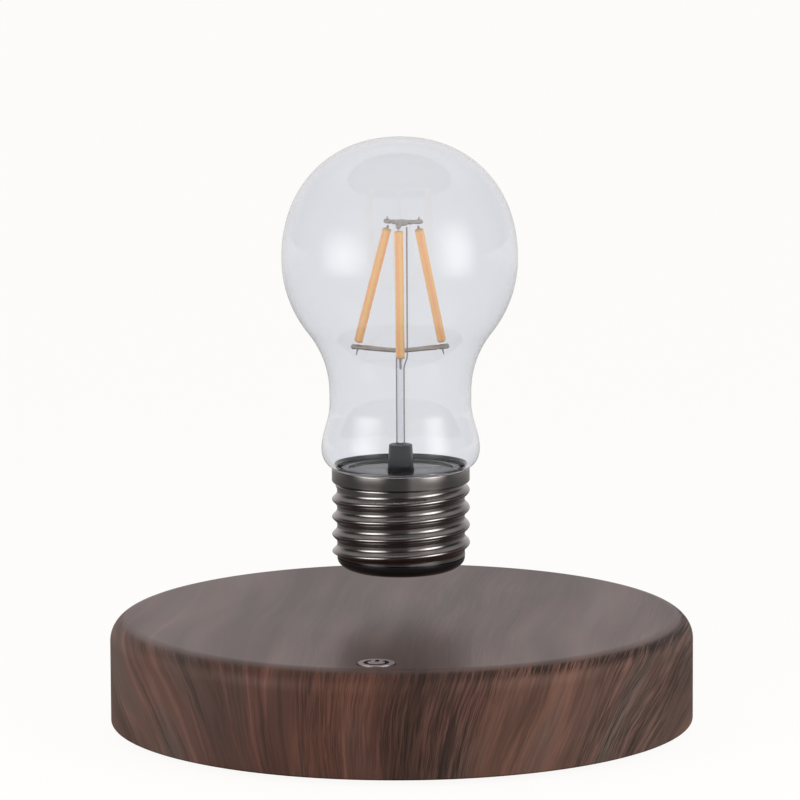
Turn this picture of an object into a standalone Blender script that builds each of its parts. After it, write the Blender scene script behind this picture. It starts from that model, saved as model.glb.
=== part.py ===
"""Levitating lamp: a glass bulb that floats on a magnetic field over a round wood-grain base.

Lengths are in metres, +Z is up, and the origin is the middle of the lamp's footprint on the
table. The touch key is at the front, -Y, and the power socket at the back, +Y. Three groups
hang on empties: the base, the magnet that the field lifts, and the bulb that turns on it.
"""

import math

import bmesh
import bpy
from mathutils import Matrix, Vector

# Clearances between neighbouring pieces
FIT = 0.0003
RUN_GAP = 0.0004

# Base shell
BASE_RADIUS = 0.075
SHELL_HEIGHT = 0.027
SHELL_LIFT = 0.0015
RIM_ROUND = 0.0058
EDGE_BREAK = 0.0006
SIDE_WALL = 0.0025
TOP_WALL = 0.0025
BOSS_RADIUS = 0.0035
BOSS_INSET = 0.003

# Bottom cover, its feet and screws
COVER_THICK = 0.0025
FOOT_RADIUS = 0.006
FOOT_SEAT = 0.001
FOOT_INSET = 0.0145
SCREW_RADIUS = 0.0015
SCREW_LENGTH = 0.009
SCREW_HEAD_RADIUS = 0.00275
SCREW_HEAD_HEIGHT = 0.0014
SLOT_WIDTH = 0.0008
SLOT_DEPTH = 0.0006

# Power socket
JACK_WIDTH = 0.009
JACK_LENGTH = 0.014
JACK_HEIGHT = 0.011
JACK_AXIS_UP = 0.0065
JACK_BORE = 0.00315
JACK_BACK_WALL = 0.004
JACK_PIN_RADIUS = 0.001
JACK_PIN_TAIL = 0.0012
JACK_PIN_SINK = 0.002
JACK_NOSE_WALL = 0.00125
JACK_NOSE = 0.0015
PLUG_ROOM = 0.0008

# Touch key in the top face
KEY_RADIUS = 0.0046
KEY_MARGIN = 0.0021
KEY_PROUD = 0.0002
KEY_FLANGE = 0.001
KEY_FLANGE_THICK = 0.0008
TOUCH_GAP = 0.0046
TOUCH_BOARD_DEPTH = 0.008
TOUCH_BOARD_THICK = 0.001
PEG_RADIUS = 0.0012
PEG_GAP = 0.001
SPRING_RADIUS = 0.0018
SPRING_WIRE = 0.00025
SPRING_TURNS = 3

# Levitation module
POST_RADIUS = 0.0026
POST_HEIGHT = 0.0037
BOARD_MARGIN = 0.0015
BOARD_THICK = 0.0016
BOARD_SCREW_RADIUS = 0.001
BOARD_SCREW_HEAD_RADIUS = 0.002
BOARD_SCREW_HEAD_HEIGHT = 0.0012
BOARD_SCREW_LENGTH = 0.0045
RING_MARGIN = 0.009
RING_BORE_SHARE = 0.7056
COIL_GAP = 0.001
CORE_SHARE = 0.231
HUB_WALL_SHARE = 0.0924
WINDING_SHARE = 0.9384
FLANGE_THICK = 0.001
SENSOR_SIZE = 0.0018
SENSOR_BOARD_THICK = 0.001
SENSOR_DROP = 0.001
CARRIER_THICK = 0.0012
CARRIER_RIM = 0.003
CARRIER_BORE = 0.008
POWER_COIL_THICK = 0.0014
POWER_COIL_WIDTH = 0.018
CHIP_SIZE = 0.007
CHIP_THICK = 0.0014
CAPACITOR_RADIUS = 0.0034
CAPACITOR_HEIGHT = 0.009
CAPACITOR_ANGLE = 115
LEAD_RADIUS = 0.0006

# Floating height of the bulb over the base's top face
LEVITATION_GAP = 0.0118

# Bulb cap, from the nose up
CAP_ROOT_RADIUS = 0.0164
THREAD_DEPTH = 0.0013
THREAD_PITCH = 0.00455
FIRST_CREST = 0.0033
THREADED_LENGTH = 0.01905
THREAD_FADE = 0.0012
METAL_WALL = 0.0005
NOSE_HEIGHT = 0.0035
NOSE_ROUND_WIDTH = 0.0062
NOSE_ROUND_HEIGHT = 0.0034
NOSE_FLOOR = 0.0021
CUP_WALL = 0.0012
CUP_HEADROOM = 0.001
MAGNET_HEIGHT = 0.008
RECEIVER_COIL_HEIGHT = 0.0025
RECEIVER_COIL_WIDTH = 0.005
RECEIVER_BOARD_THICK = 0.0012
COLLAR_HEIGHT = 0.00375
COLLAR_LIP = 0.00055
COLLAR_BREAK = 0.0003
INSERT_WALL = 0.001
INSERT_RIM_WIDTH = 0.0021
INSERT_DISC_THICK = 0.0013
INSERT_DISC_DROP = 0.0013
INSERT_RIM_DROP = 0.0002

# Glass, measured up from the collar's top edge
GLASS_WALL = 0.001
GLASS_SEAT_DEPTH = 0.0026
BULGE_RADIUS = 0.0203
BULGE_UP = 0.0048
WAIST_RADIUS = 0.01815
WAIST_UP = 0.0163
WAIST_LENGTH = 0.003
GLOBE_RADIUS = 0.0302
GLOBE_UP = 0.0538
DOME_HEIGHT = 0.0311
DOME_FULLNESS = 2.15

# Filament frame inside the glass
SLEEVE_RADIUS = 0.00335
SLEEVE_TOP_RADIUS = 0.003
SLEEVE_BREAK = 0.0004
SLEEVE_UP = 0.0071
STEM_RADIUS = 0.0006
FRAME_UP = 0.0304
FRAME_RISE = 0.0327
HUB_HALF = 0.0007
LOWER_HUB = 0.0013
UPPER_HUB = 0.0017
ARM_RADIUS = 0.00065
LOWER_ARM = 0.0146
LOWER_FRONT_ARM = 0.0116
LOWER_SEAT = 0.0125
UPPER_ARM = 0.0058
UPPER_FRONT_DROP = 0.0005
UPPER_SEAT = 0.0045
UPPER_SHIFT = 0.0006
LOWER_STUB = 0.0022
UPPER_STUB = 0.0013
STUB_RADIUS = 0.0003
FILAMENT_RADIUS = 0.00115
FILAMENT_PIN_RADIUS = 0.0003
UPPER_TAB = 0.0008
SHORT_TAB = 0.0003
FRONT_TAB = 0.0026
FRONT_LOW = 0.0004
STEM_LEAD_RADIUS = 0.0002
LEAD_JOG = 0.0015
FRONT_ANGLE = math.radians(-84)
FRAME_TWIST = math.radians(-10)
FILAMENTS = 3
LEAD_ANGLE = FRONT_ANGLE + math.pi / FILAMENTS

# Facets of round pieces, by how large they are
BASE_STEPS = 60
BULB_STEPS = 28
SMALL_STEPS = 14
TINY_STEPS = 8
THREAD_ROWS_PER_PITCH = 4

# Base levels and radii that follow
SHELL_TOP = SHELL_LIFT + SHELL_HEIGHT
CAVITY_RADIUS = BASE_RADIUS - SIDE_WALL
CAVITY_TOP = SHELL_TOP - TOP_WALL
COVER_BOTTOM = SHELL_LIFT + FIT
COVER_TOP = COVER_BOTTOM + COVER_THICK
BOSS_CIRCLE = CAVITY_RADIUS - BOSS_INSET - BOSS_RADIUS
FOOT_CIRCLE = CAVITY_RADIUS - FOOT_INSET
JACK_FACE = math.sqrt(CAVITY_RADIUS**2 - (JACK_WIDTH / 2) ** 2) - FIT
JACK_TIP = JACK_FACE + JACK_NOSE
JACK_BACK = JACK_FACE - JACK_LENGTH
JACK_NOSE_RADIUS = JACK_BORE + JACK_NOSE_WALL
PLUG_HOLE_RADIUS = JACK_NOSE_RADIUS + PLUG_ROOM
JACK_BOTTOM = COVER_TOP + FIT
JACK_AXIS = JACK_BOTTOM + JACK_AXIS_UP
KEY_Y = -(BASE_RADIUS - RIM_ROUND - KEY_MARGIN - KEY_RADIUS)
KEY_BOTTOM = CAVITY_TOP - FIT - KEY_FLANGE_THICK
TOUCH_BOARD_TOP = KEY_BOTTOM - TOUCH_GAP
PEG_X = KEY_RADIUS + KEY_FLANGE + PEG_GAP + PEG_RADIUS
BOARD_RADIUS = JACK_BACK - BOARD_MARGIN
BOARD_BOTTOM = COVER_TOP + POST_HEIGHT + FIT
BOARD_TOP = BOARD_BOTTOM + BOARD_THICK
POST_CIRCLE = BOARD_RADIUS - RING_MARGIN / 2
RING_OUTER = BOARD_RADIUS - RING_MARGIN
RING_INNER = RING_OUTER * RING_BORE_SHARE
POWER_COIL_BOTTOM = CAVITY_TOP - FIT - POWER_COIL_THICK
CARRIER_BOTTOM = POWER_COIL_BOTTOM - FIT - CARRIER_THICK
MODULE_BOTTOM = BOARD_TOP + FIT
MODULE_TOP = CARRIER_BOTTOM - FIT
# Four equal circles that touch inside a ring have (sqrt 2 - 1) of its radius.
COIL_RADIUS = (RING_INNER - COIL_GAP) * (math.sqrt(2) - 1) - COIL_GAP / 2
COIL_CIRCLE = RING_INNER - COIL_GAP - COIL_RADIUS
CORE_RADIUS = COIL_RADIUS * CORE_SHARE
SENSOR_RADIUS = COIL_CIRCLE - COIL_RADIUS - COIL_GAP
SENSOR_TOP = MODULE_TOP - SENSOR_DROP
SENSOR_BOARD_BOTTOM = SENSOR_TOP - SENSOR_SIZE - SENSOR_BOARD_THICK

# Bulb levels and radii that follow, measured up from the bulb's own bottom
BULB_BOTTOM = SHELL_TOP + LEVITATION_GAP
INNER_RADIUS = CAP_ROOT_RADIUS - METAL_WALL - FIT
CUP_RADIUS = INNER_RADIUS - CUP_WALL
MAGNET_BOTTOM = NOSE_FLOOR + FIT
MAGNET_TOP = MAGNET_BOTTOM + MAGNET_HEIGHT
CUP_TOP = MAGNET_TOP + CUP_HEADROOM
RECEIVER_COIL_BOTTOM = CUP_TOP + FIT
RECEIVER_BOARD_BOTTOM = RECEIVER_COIL_BOTTOM + RECEIVER_COIL_HEIGHT + FIT
RECEIVER_BOARD_TOP = RECEIVER_BOARD_BOTTOM + RECEIVER_BOARD_THICK
THREAD_BOTTOM = NOSE_HEIGHT + FIT
THREAD_TOP = THREAD_BOTTOM + THREADED_LENGTH
COLLAR_RADIUS = CAP_ROOT_RADIUS + THREAD_DEPTH
COLLAR_BOTTOM = THREAD_TOP + FIT
COLLAR_TOP = COLLAR_BOTTOM + COLLAR_HEIGHT
NECK_RADIUS = COLLAR_RADIUS - COLLAR_LIP - FIT
GLASS_BOTTOM = COLLAR_TOP - GLASS_SEAT_DEPTH
INSERT_RIM_RADIUS = NECK_RADIUS - GLASS_WALL - FIT
DISC_TOP = COLLAR_TOP - INSERT_DISC_DROP
SLEEVE_TOP = DISC_TOP + SLEEVE_UP
LOWER_SPIDER = COLLAR_TOP + FRAME_UP
UPPER_SPIDER = LOWER_SPIDER + FRAME_RISE
STEM_TOP = LOWER_SPIDER - HUB_HALF - FIT
STEM_LEAD_AT = STEM_RADIUS + FIT + STEM_LEAD_RADIUS
UPPER_LEAD_AT = LOWER_HUB + 2 * FIT + STEM_LEAD_RADIUS
FRONT_SEAT = LOWER_FRONT_ARM + FILAMENT_RADIUS + 2 * FIT

CORNERS = [math.radians(45 + 90 * k) for k in range(4)]
SIDES = [math.radians(90 * k) for k in range(4)]
SHARP_ANGLE = math.radians(35)


def clear_scene():
    for obj in list(bpy.data.objects):
        bpy.data.objects.remove(obj)


def new_collection(name):
    found = bpy.data.collections.new(name)
    bpy.context.scene.collection.children.link(found)
    return found


def finish(colour, roughness, metallic=0.0, transmission=0.0):
    """A look that several pieces share, as inputs of a Principled shader."""
    return {
        "Base Color": (*colour, 1.0),
        "Roughness": roughness,
        "Metallic": metallic,
        "Transmission Weight": transmission,
    }


def own_material(name, look):
    """A piece's own plain Principled material."""
    material = bpy.data.materials.new(name)
    material.use_nodes = True
    shader = material.node_tree.nodes["Principled BSDF"]
    for socket, value in look.items():
        shader.inputs[socket].default_value = value
    return material


clear_scene()
LAMP = new_collection("levitating_lamp")
TOOLS = new_collection("cutters")

WOOD_GRAIN = finish((0.12, 0.075, 0.058), 0.42)
BLACK_PLASTIC = finish((0.02, 0.02, 0.022), 0.5)
GLOSS_BLACK = finish((0.012, 0.013, 0.015), 0.15)
RUBBER = finish((0.015, 0.015, 0.015), 0.8)
STEEL = finish((0.55, 0.55, 0.56), 0.3, 1.0)
BOARD_GREEN = finish((0.01, 0.09, 0.04), 0.45)
FERRITE = finish((0.05, 0.05, 0.055), 0.6)
COPPER = finish((0.72, 0.33, 0.17), 0.35, 1.0)
NICKEL = finish((0.62, 0.6, 0.57), 0.25, 1.0)
CHIP_BLACK = finish((0.02, 0.02, 0.02), 0.55)
SLEEVE_BLUE = finish((0.03, 0.06, 0.2), 0.35)
LEAD_RED = finish((0.5, 0.02, 0.02), 0.45)
LEAD_BLACK = finish((0.02, 0.02, 0.02), 0.45)
KEY_METAL = finish((0.36, 0.31, 0.31), 0.35, 0.6)
GUNMETAL = finish((0.12, 0.115, 0.11), 0.22, 1.0)
GLASS = finish((0.93, 0.95, 0.97), 0.02, 0.0, 1.0)
PHOSPHOR = finish((0.85, 0.5, 0.22), 0.55)
WIRE = finish((0.42, 0.4, 0.39), 0.45, 1.0)


def new_group(name, height):
    """The empty that a rigid group hangs on, on the lamp's upright axis."""
    empty = bpy.data.objects.new(name, None)
    LAMP.objects.link(empty)
    empty.location = (0, 0, height)
    return empty


BASE = new_group("base", 0)
FLOAT = new_group("float", BULB_BOTTOM)
BULB = new_group("bulb", BULB_BOTTOM)


def place(name, data, look, group):
    """One named piece of the lamp."""
    obj = bpy.data.objects.new(name, data)
    LAMP.objects.link(obj)
    obj.parent = group
    data.materials.clear()
    data.materials.append(own_material(name, look))
    return obj


def mesh_of(name, bm):
    mesh = bpy.data.meshes.new(name)
    bm.to_mesh(mesh)
    bm.free()
    if mesh.polygons:
        mesh.shade_smooth()
        mesh.set_sharp_from_angle(angle=SHARP_ANGLE)
    return mesh


def evaluated_mesh(obj, name):
    """The mesh that an object's modifiers make, as data of its own."""
    bpy.context.view_layer.update()
    graph = bpy.context.evaluated_depsgraph_get()
    mesh = bpy.data.meshes.new_from_object(obj.evaluated_get(graph))
    mesh.name = name
    return mesh


def turned_mesh(name, outline, steps, closed=False, wall=0.0):
    """An outline of (radius, height) points turned about Z, as a lathe would. It runs down
    its outer side. A wall above zero thickens an open outline inwards."""
    mesh = bpy.data.meshes.new(name)
    edges = [(k, k + 1) for k in range(len(outline) - 1)]
    if closed:
        edges.append((len(outline) - 1, 0))
    mesh.from_pydata([(radius, 0, height) for radius, height in outline], edges, [])
    blank = bpy.data.objects.new(name, mesh)
    TOOLS.objects.link(blank)
    screw = blank.modifiers.new("turn", "SCREW")
    screw.steps = screw.render_steps = steps
    screw.use_merge_vertices = True
    screw.merge_threshold = 0.000001
    if wall:
        solidify = blank.modifiers.new("wall", "SOLIDIFY")
        solidify.thickness = wall
        solidify.offset = -1
    turned = evaluated_mesh(blank, name)
    bpy.data.objects.remove(blank)
    turned.shade_smooth()
    turned.set_sharp_from_angle(angle=SHARP_ANGLE)
    return turned


def turned(name, outline, steps, look, group, closed=False, wall=0.0):
    return place(name, turned_mesh(name, outline, steps, closed, wall), look, group)


def ring(name, inner, outer, low, high, steps, look, group):
    """A flat ring of rectangular section."""
    outline = [(inner, high), (outer, high), (outer, low), (inner, low)]
    return turned(name, outline, steps, look, group, closed=True)


def disc(name, radius, low, high, steps, look, group):
    return turned(name, [(0, high), (radius, high), (radius, low), (0, low)], steps, look, group)


def arc(centre, radii, start, end, count):
    """Points of an ellipse's arc about centre, from start to end degrees."""
    found = []
    for k in range(count + 1):
        angle = math.radians(start + (end - start) * k / count)
        found.append((centre[0] + radii[0] * math.cos(angle), centre[1] + radii[1] * math.sin(angle)))
    return found


def add_cylinder(bm, radius, low, high, at=(0, 0), steps=SMALL_STEPS):
    """An upright cylinder, added to a mesh in the making."""
    middle = Matrix.Translation((at[0], at[1], (low + high) / 2))
    bmesh.ops.create_cone(
        bm, cap_ends=True, segments=steps, radius1=radius, radius2=radius, depth=high - low, matrix=middle
    )


def add_rod(bm, radius, start, end, steps=TINY_STEPS):
    """A cylinder between two points."""
    along = Vector(end) - Vector(start)
    turn = along.to_track_quat("Z", "Y").to_matrix().to_4x4()
    middle = Matrix.Translation((Vector(start) + Vector(end)) / 2) @ turn
    bmesh.ops.create_cone(
        bm, cap_ends=True, segments=steps, radius1=radius, radius2=radius, depth=along.length, matrix=middle
    )


def add_box(bm, low, high):
    """A box between its lowest and highest corners."""
    size = Vector(high) - Vector(low)
    middle = Matrix.Translation((Vector(low) + Vector(high)) / 2)
    bmesh.ops.create_cube(bm, size=1, matrix=middle @ Matrix.Diagonal((*size, 1)))


def tool(name, bm, group):
    """A hidden solid that cuts or joins another."""
    obj = bpy.data.objects.new(name, mesh_of(name, bm))
    TOOLS.objects.link(obj)
    obj.parent = group
    obj.hide_render = True
    obj.display_type = "WIRE"
    return obj


def shape_with(obj, operation, helper):
    boolean = obj.modifiers.new(helper.name, "BOOLEAN")
    boolean.operation = operation
    boolean.object = helper


def around(circle, angle):
    """The point of a circle about the lamp's axis at an angle."""
    return circle * math.cos(angle), circle * math.sin(angle)


def box(name, low, high, look, group):
    bm = bmesh.new()
    add_box(bm, low, high)
    return place(name, mesh_of(name, bm), look, group)


def wire(name, points, radius, look, group, bevel_resolution=1):
    """A round wire along a run of points."""
    curve = bpy.data.curves.new(name, "CURVE")
    curve.dimensions = "3D"
    curve.bevel_depth = radius
    curve.bevel_resolution = bevel_resolution
    curve.use_fill_caps = True
    spline = curve.splines.new("POLY")
    spline.points.add(len(points) - 1)
    for point, at in zip(spline.points, points):
        point.co = (*at, 1)
    return place(name, curve, look, group)


def bend(start, through, end, count=8):
    """Points of a smooth bend from start to end, drawn towards the point between them."""
    found = []
    for k in range(count + 1):
        t = k / count
        found.append(
            Vector(start) * (1 - t) ** 2 + Vector(through) * 2 * t * (1 - t) + Vector(end) * t**2
        )
    return found


def make_base_shell():
    """Moulded cup, mouth down, with four screw bosses and two pegs for the touch board."""
    inner_round = max(RIM_ROUND - SIDE_WALL, EDGE_BREAK)
    outline = [(0, SHELL_TOP)]
    outline += arc((BASE_RADIUS - RIM_ROUND, SHELL_TOP - RIM_ROUND), (RIM_ROUND, RIM_ROUND), 90, 0, 5)
    outline += [(BASE_RADIUS, SHELL_LIFT + EDGE_BREAK), (BASE_RADIUS - EDGE_BREAK, SHELL_LIFT)]
    outline += [(CAVITY_RADIUS, SHELL_LIFT)]
    corner = (CAVITY_RADIUS - inner_round, CAVITY_TOP - inner_round)
    outline += arc(corner, (inner_round, inner_round), 0, 90, 2)
    outline += [(0, CAVITY_TOP)]
    shell = turned("base_shell", outline, BASE_STEPS, WOOD_GRAIN, BASE)
    bm = bmesh.new()
    root = CAVITY_TOP + TOP_WALL / 2
    for angle in CORNERS:
        add_cylinder(bm, BOSS_RADIUS, COVER_TOP + FIT, root, around(BOSS_CIRCLE, angle))
    for side in (-1, 1):
        add_cylinder(bm, PEG_RADIUS, TOUCH_BOARD_TOP + FIT, root, (side * PEG_X, KEY_Y), TINY_STEPS)
    shape_with(shell, "UNION", tool("shell_bosses", bm, BASE))
    bm = bmesh.new()
    for angle in CORNERS:
        bore_top = COVER_BOTTOM + SCREW_HEAD_HEIGHT + SCREW_LENGTH + FIT
        add_cylinder(bm, SCREW_RADIUS + FIT, COVER_BOTTOM, bore_top, around(BOSS_CIRCLE, angle))
    key_bore = KEY_RADIUS + FIT
    add_cylinder(bm, key_bore, CAVITY_TOP - TOP_WALL, SHELL_TOP + TOP_WALL, (0, KEY_Y), BULB_STEPS)
    outside = (0, BASE_RADIUS + SIDE_WALL, JACK_AXIS)
    inside = (0, CAVITY_RADIUS - SIDE_WALL, JACK_AXIS)
    add_rod(bm, PLUG_HOLE_RADIUS, inside, outside, SMALL_STEPS)
    shape_with(shell, "DIFFERENCE", tool("shell_holes", bm, BASE))


def board_post_angles():
    return [math.radians(30 + 120 * k) for k in range(3)]


def make_bottom_cover():
    """Round plate that closes the shell, with seats for feet and screws and posts for the board."""
    radius = CAVITY_RADIUS - FIT
    cover = disc("bottom_cover", radius, COVER_BOTTOM, COVER_TOP, BASE_STEPS, BLACK_PLASTIC, BASE)
    bm = bmesh.new()
    root = COVER_BOTTOM + COVER_THICK / 2
    for angle in board_post_angles():
        add_cylinder(bm, POST_RADIUS, root, BOARD_BOTTOM - FIT, around(POST_CIRCLE, angle))
    shape_with(cover, "UNION", tool("cover_posts", bm, BASE))
    bm = bmesh.new()
    for angle in SIDES:
        add_cylinder(bm, FOOT_RADIUS + FIT, 0, COVER_BOTTOM + FOOT_SEAT, around(FOOT_CIRCLE, angle))
    for angle in CORNERS:
        head_seat = COVER_BOTTOM + SCREW_HEAD_HEIGHT + FIT
        add_cylinder(bm, SCREW_HEAD_RADIUS + FIT, 0, head_seat, around(BOSS_CIRCLE, angle))
    shape_with(cover, "DIFFERENCE", tool("cover_seats", bm, BASE))
    bm = bmesh.new()
    above = COVER_TOP + COVER_THICK
    for angle in CORNERS:
        add_cylinder(bm, SCREW_RADIUS + FIT, COVER_BOTTOM, above, around(BOSS_CIRCLE, angle), TINY_STEPS)
    bore = BOARD_SCREW_RADIUS + FIT
    bore_bottom = BOARD_TOP - BOARD_SCREW_LENGTH - FIT
    for angle in board_post_angles():
        add_cylinder(bm, bore, bore_bottom, BOARD_TOP, around(POST_CIRCLE, angle), TINY_STEPS)
    shape_with(cover, "DIFFERENCE", tool("cover_holes", bm, BASE))


def make_feet():
    """Four rubber pads, glued in the cover's seats."""
    foot_top = COVER_BOTTOM + FOOT_SEAT - FIT
    outline = [(0, foot_top), (FOOT_RADIUS, foot_top), (FOOT_RADIUS, EDGE_BREAK)]
    outline += [(FOOT_RADIUS - EDGE_BREAK, 0), (0, 0)]
    for k, angle in enumerate(SIDES):
        foot = turned(f"rubber_foot_{k + 1}", outline, SMALL_STEPS, RUBBER, BASE)
        foot.location = (*around(FOOT_CIRCLE, angle), 0)


def screw_mesh(name, head_radius, head_height, radius, length):
    """A pan-head screw, head down, its head's flat face at height 0, with a slot."""
    outline = [(0, head_height + length), (radius, head_height + length), (radius, head_height)]
    outline += [(head_radius, head_height), (head_radius, 0), (0, 0)]
    return turned_mesh(name, outline, TINY_STEPS)


def make_cover_screws():
    """Four screws that hold the cover to the shell's bosses."""
    for k, angle in enumerate(CORNERS):
        name = f"cover_screw_{k + 1}"
        mesh = screw_mesh(name, SCREW_HEAD_RADIUS, SCREW_HEAD_HEIGHT, SCREW_RADIUS, SCREW_LENGTH)
        screw = place(name, mesh, STEEL, BASE)
        screw.location = (*around(BOSS_CIRCLE, angle), COVER_BOTTOM)
        bm = bmesh.new()
        corner = Vector((SCREW_HEAD_RADIUS, SLOT_WIDTH / 2, SLOT_DEPTH))
        add_box(bm, -corner, corner)
        slot = tool(f"screw_slot_{k + 1}", bm, BASE)
        slot.location = screw.location
        shape_with(screw, "DIFFERENCE", slot)


def make_board_screws():
    """Three small screws, heads up, that hold the main board to its posts."""
    head = BOARD_SCREW_HEAD_HEIGHT
    for k, angle in enumerate(board_post_angles()):
        name = f"board_screw_{k + 1}"
        mesh = screw_mesh(name, BOARD_SCREW_HEAD_RADIUS, head, BOARD_SCREW_RADIUS, BOARD_SCREW_LENGTH)
        screw = place(name, mesh, STEEL, BASE)
        screw.location = (*around(POST_CIRCLE, angle), BOARD_TOP + FIT + head)
        screw.rotation_euler = (math.pi, 0, 0)


def make_main_board():
    """Round circuit board that carries the levitation module."""
    board = disc("main_board", BOARD_RADIUS, BOARD_BOTTOM, BOARD_TOP, BASE_STEPS, BOARD_GREEN, BASE)
    bm = bmesh.new()
    for angle in board_post_angles():
        low, high = BOARD_BOTTOM - BOARD_THICK, BOARD_TOP + BOARD_THICK
        at = around(POST_CIRCLE, angle)
        add_cylinder(bm, BOARD_SCREW_RADIUS + FIT, low, high, at, TINY_STEPS)
    shape_with(board, "DIFFERENCE", tool("board_holes", bm, BASE))
    chip_top = BOARD_BOTTOM - FIT
    chip_low = (COIL_CIRCLE, -CHIP_SIZE / 2, chip_top - CHIP_THICK)
    box("control_chip", chip_low, (COIL_CIRCLE + CHIP_SIZE, CHIP_SIZE / 2, chip_top), CHIP_BLACK, BASE)
    driver_low = (-COIL_CIRCLE - CHIP_SIZE, -CHIP_SIZE / 2, chip_top - CHIP_THICK)
    box("driver_chip", driver_low, (-COIL_CIRCLE, CHIP_SIZE / 2, chip_top), CHIP_BLACK, BASE)
    name, top = "smoothing_capacitor", MODULE_BOTTOM + CAPACITOR_HEIGHT
    capacitor = disc(name, CAPACITOR_RADIUS, MODULE_BOTTOM, top, SMALL_STEPS, SLEEVE_BLUE, BASE)
    capacitor.location = (*around(POST_CIRCLE, math.radians(CAPACITOR_ANGLE)), 0)


def make_levitation_module():
    """Ring magnet round four wound coils on iron cores, with Hall sensors in the middle."""
    ring("ring_magnet", RING_INNER, RING_OUTER, MODULE_BOTTOM, MODULE_TOP, BASE_STEPS, FERRITE, BASE)
    bore = CORE_RADIUS + FIT
    hub = bore + COIL_RADIUS * HUB_WALL_SHARE
    low_flange, high_flange = MODULE_BOTTOM + FLANGE_THICK, MODULE_TOP - FLANGE_THICK
    for k, angle in enumerate(CORNERS):
        at = (*around(COIL_CIRCLE, angle), 0)
        outline = [(bore, MODULE_TOP), (COIL_RADIUS, MODULE_TOP), (COIL_RADIUS, high_flange)]
        outline += [(hub, high_flange), (hub, low_flange), (COIL_RADIUS, low_flange)]
        outline += [(COIL_RADIUS, MODULE_BOTTOM), (bore, MODULE_BOTTOM)]
        bobbin = turned(f"coil_bobbin_{k + 1}", outline, SMALL_STEPS, BLACK_PLASTIC, BASE, closed=True)
        bobbin.location = at
        name, outer = f"coil_winding_{k + 1}", COIL_RADIUS * WINDING_SHARE
        low, high = low_flange + FIT, high_flange - FIT
        ring(name, hub + FIT, outer, low, high, SMALL_STEPS, COPPER, BASE).location = at
        name = f"coil_core_{k + 1}"
        disc(name, CORE_RADIUS, MODULE_BOTTOM, MODULE_TOP, SMALL_STEPS, STEEL, BASE).location = at
    post_top = SENSOR_BOARD_BOTTOM - FIT
    disc("sensor_post", SENSOR_RADIUS, MODULE_BOTTOM, post_top, SMALL_STEPS, BLACK_PLASTIC, BASE)
    low, high = SENSOR_BOARD_BOTTOM, SENSOR_BOARD_BOTTOM + SENSOR_BOARD_THICK
    board = disc("sensor_board", SENSOR_RADIUS, low, high, SMALL_STEPS, BOARD_GREEN, BASE)
    bm = bmesh.new()
    half = SENSOR_SIZE / 2
    for k in range(3):
        x, y = around(SENSOR_RADIUS / 2, math.tau * k / 3)
        add_box(bm, (x - half, y - half, (low + high) / 2), (x + half, y + half, SENSOR_TOP))
    shape_with(board, "UNION", tool("hall_sensors", bm, BASE))


def make_power_coil():
    """Flat sending coil under the shell's top, in its carrier."""
    carrier_top = CARRIER_BOTTOM + CARRIER_THICK
    rim_top = CAVITY_TOP - FIT
    rim_inner = RING_OUTER - CARRIER_RIM
    outline = [(CARRIER_BORE, carrier_top), (rim_inner, carrier_top), (rim_inner, rim_top)]
    outline += [(RING_OUTER, rim_top), (RING_OUTER, CARRIER_BOTTOM), (CARRIER_BORE, CARRIER_BOTTOM)]
    turned("coil_carrier", outline, BULB_STEPS, BLACK_PLASTIC, BASE, closed=True)
    outer = rim_inner - FIT
    inner = outer - POWER_COIL_WIDTH
    ring("power_coil", inner, outer, POWER_COIL_BOTTOM, rim_top, BULB_STEPS, COPPER, BASE)


def make_touch_key():
    """Metal key in the top face, and the sensing board and contact spring under it."""
    face, flange_top = SHELL_TOP + KEY_PROUD, CAVITY_TOP - FIT
    flange = KEY_RADIUS + KEY_FLANGE
    outline = [(0, face), (KEY_RADIUS, face), (KEY_RADIUS, flange_top), (flange, flange_top)]
    outline += [(flange, KEY_BOTTOM), (0, KEY_BOTTOM)]
    turned("touch_key", outline, BULB_STEPS, KEY_METAL, BASE).location = (0, KEY_Y, 0)
    half_width, half_depth = PEG_X + PEG_RADIUS, TOUCH_BOARD_DEPTH / 2
    low = (-half_width, KEY_Y - half_depth, TOUCH_BOARD_TOP - TOUCH_BOARD_THICK)
    box("touch_board", low, (half_width, KEY_Y + half_depth, TOUCH_BOARD_TOP), BOARD_GREEN, BASE)
    bottom = TOUCH_BOARD_TOP + FIT + SPRING_WIRE
    top = KEY_BOTTOM - FIT - SPRING_WIRE
    points_per_turn = 8
    count = SPRING_TURNS * points_per_turn
    points = []
    for k in range(count + 1):
        x, y = around(SPRING_RADIUS, math.tau * k / points_per_turn)
        points.append((x, KEY_Y + y, bottom + (top - bottom) * k / count))
    wire("touch_spring", points, SPRING_WIRE, STEEL, BASE)


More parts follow.
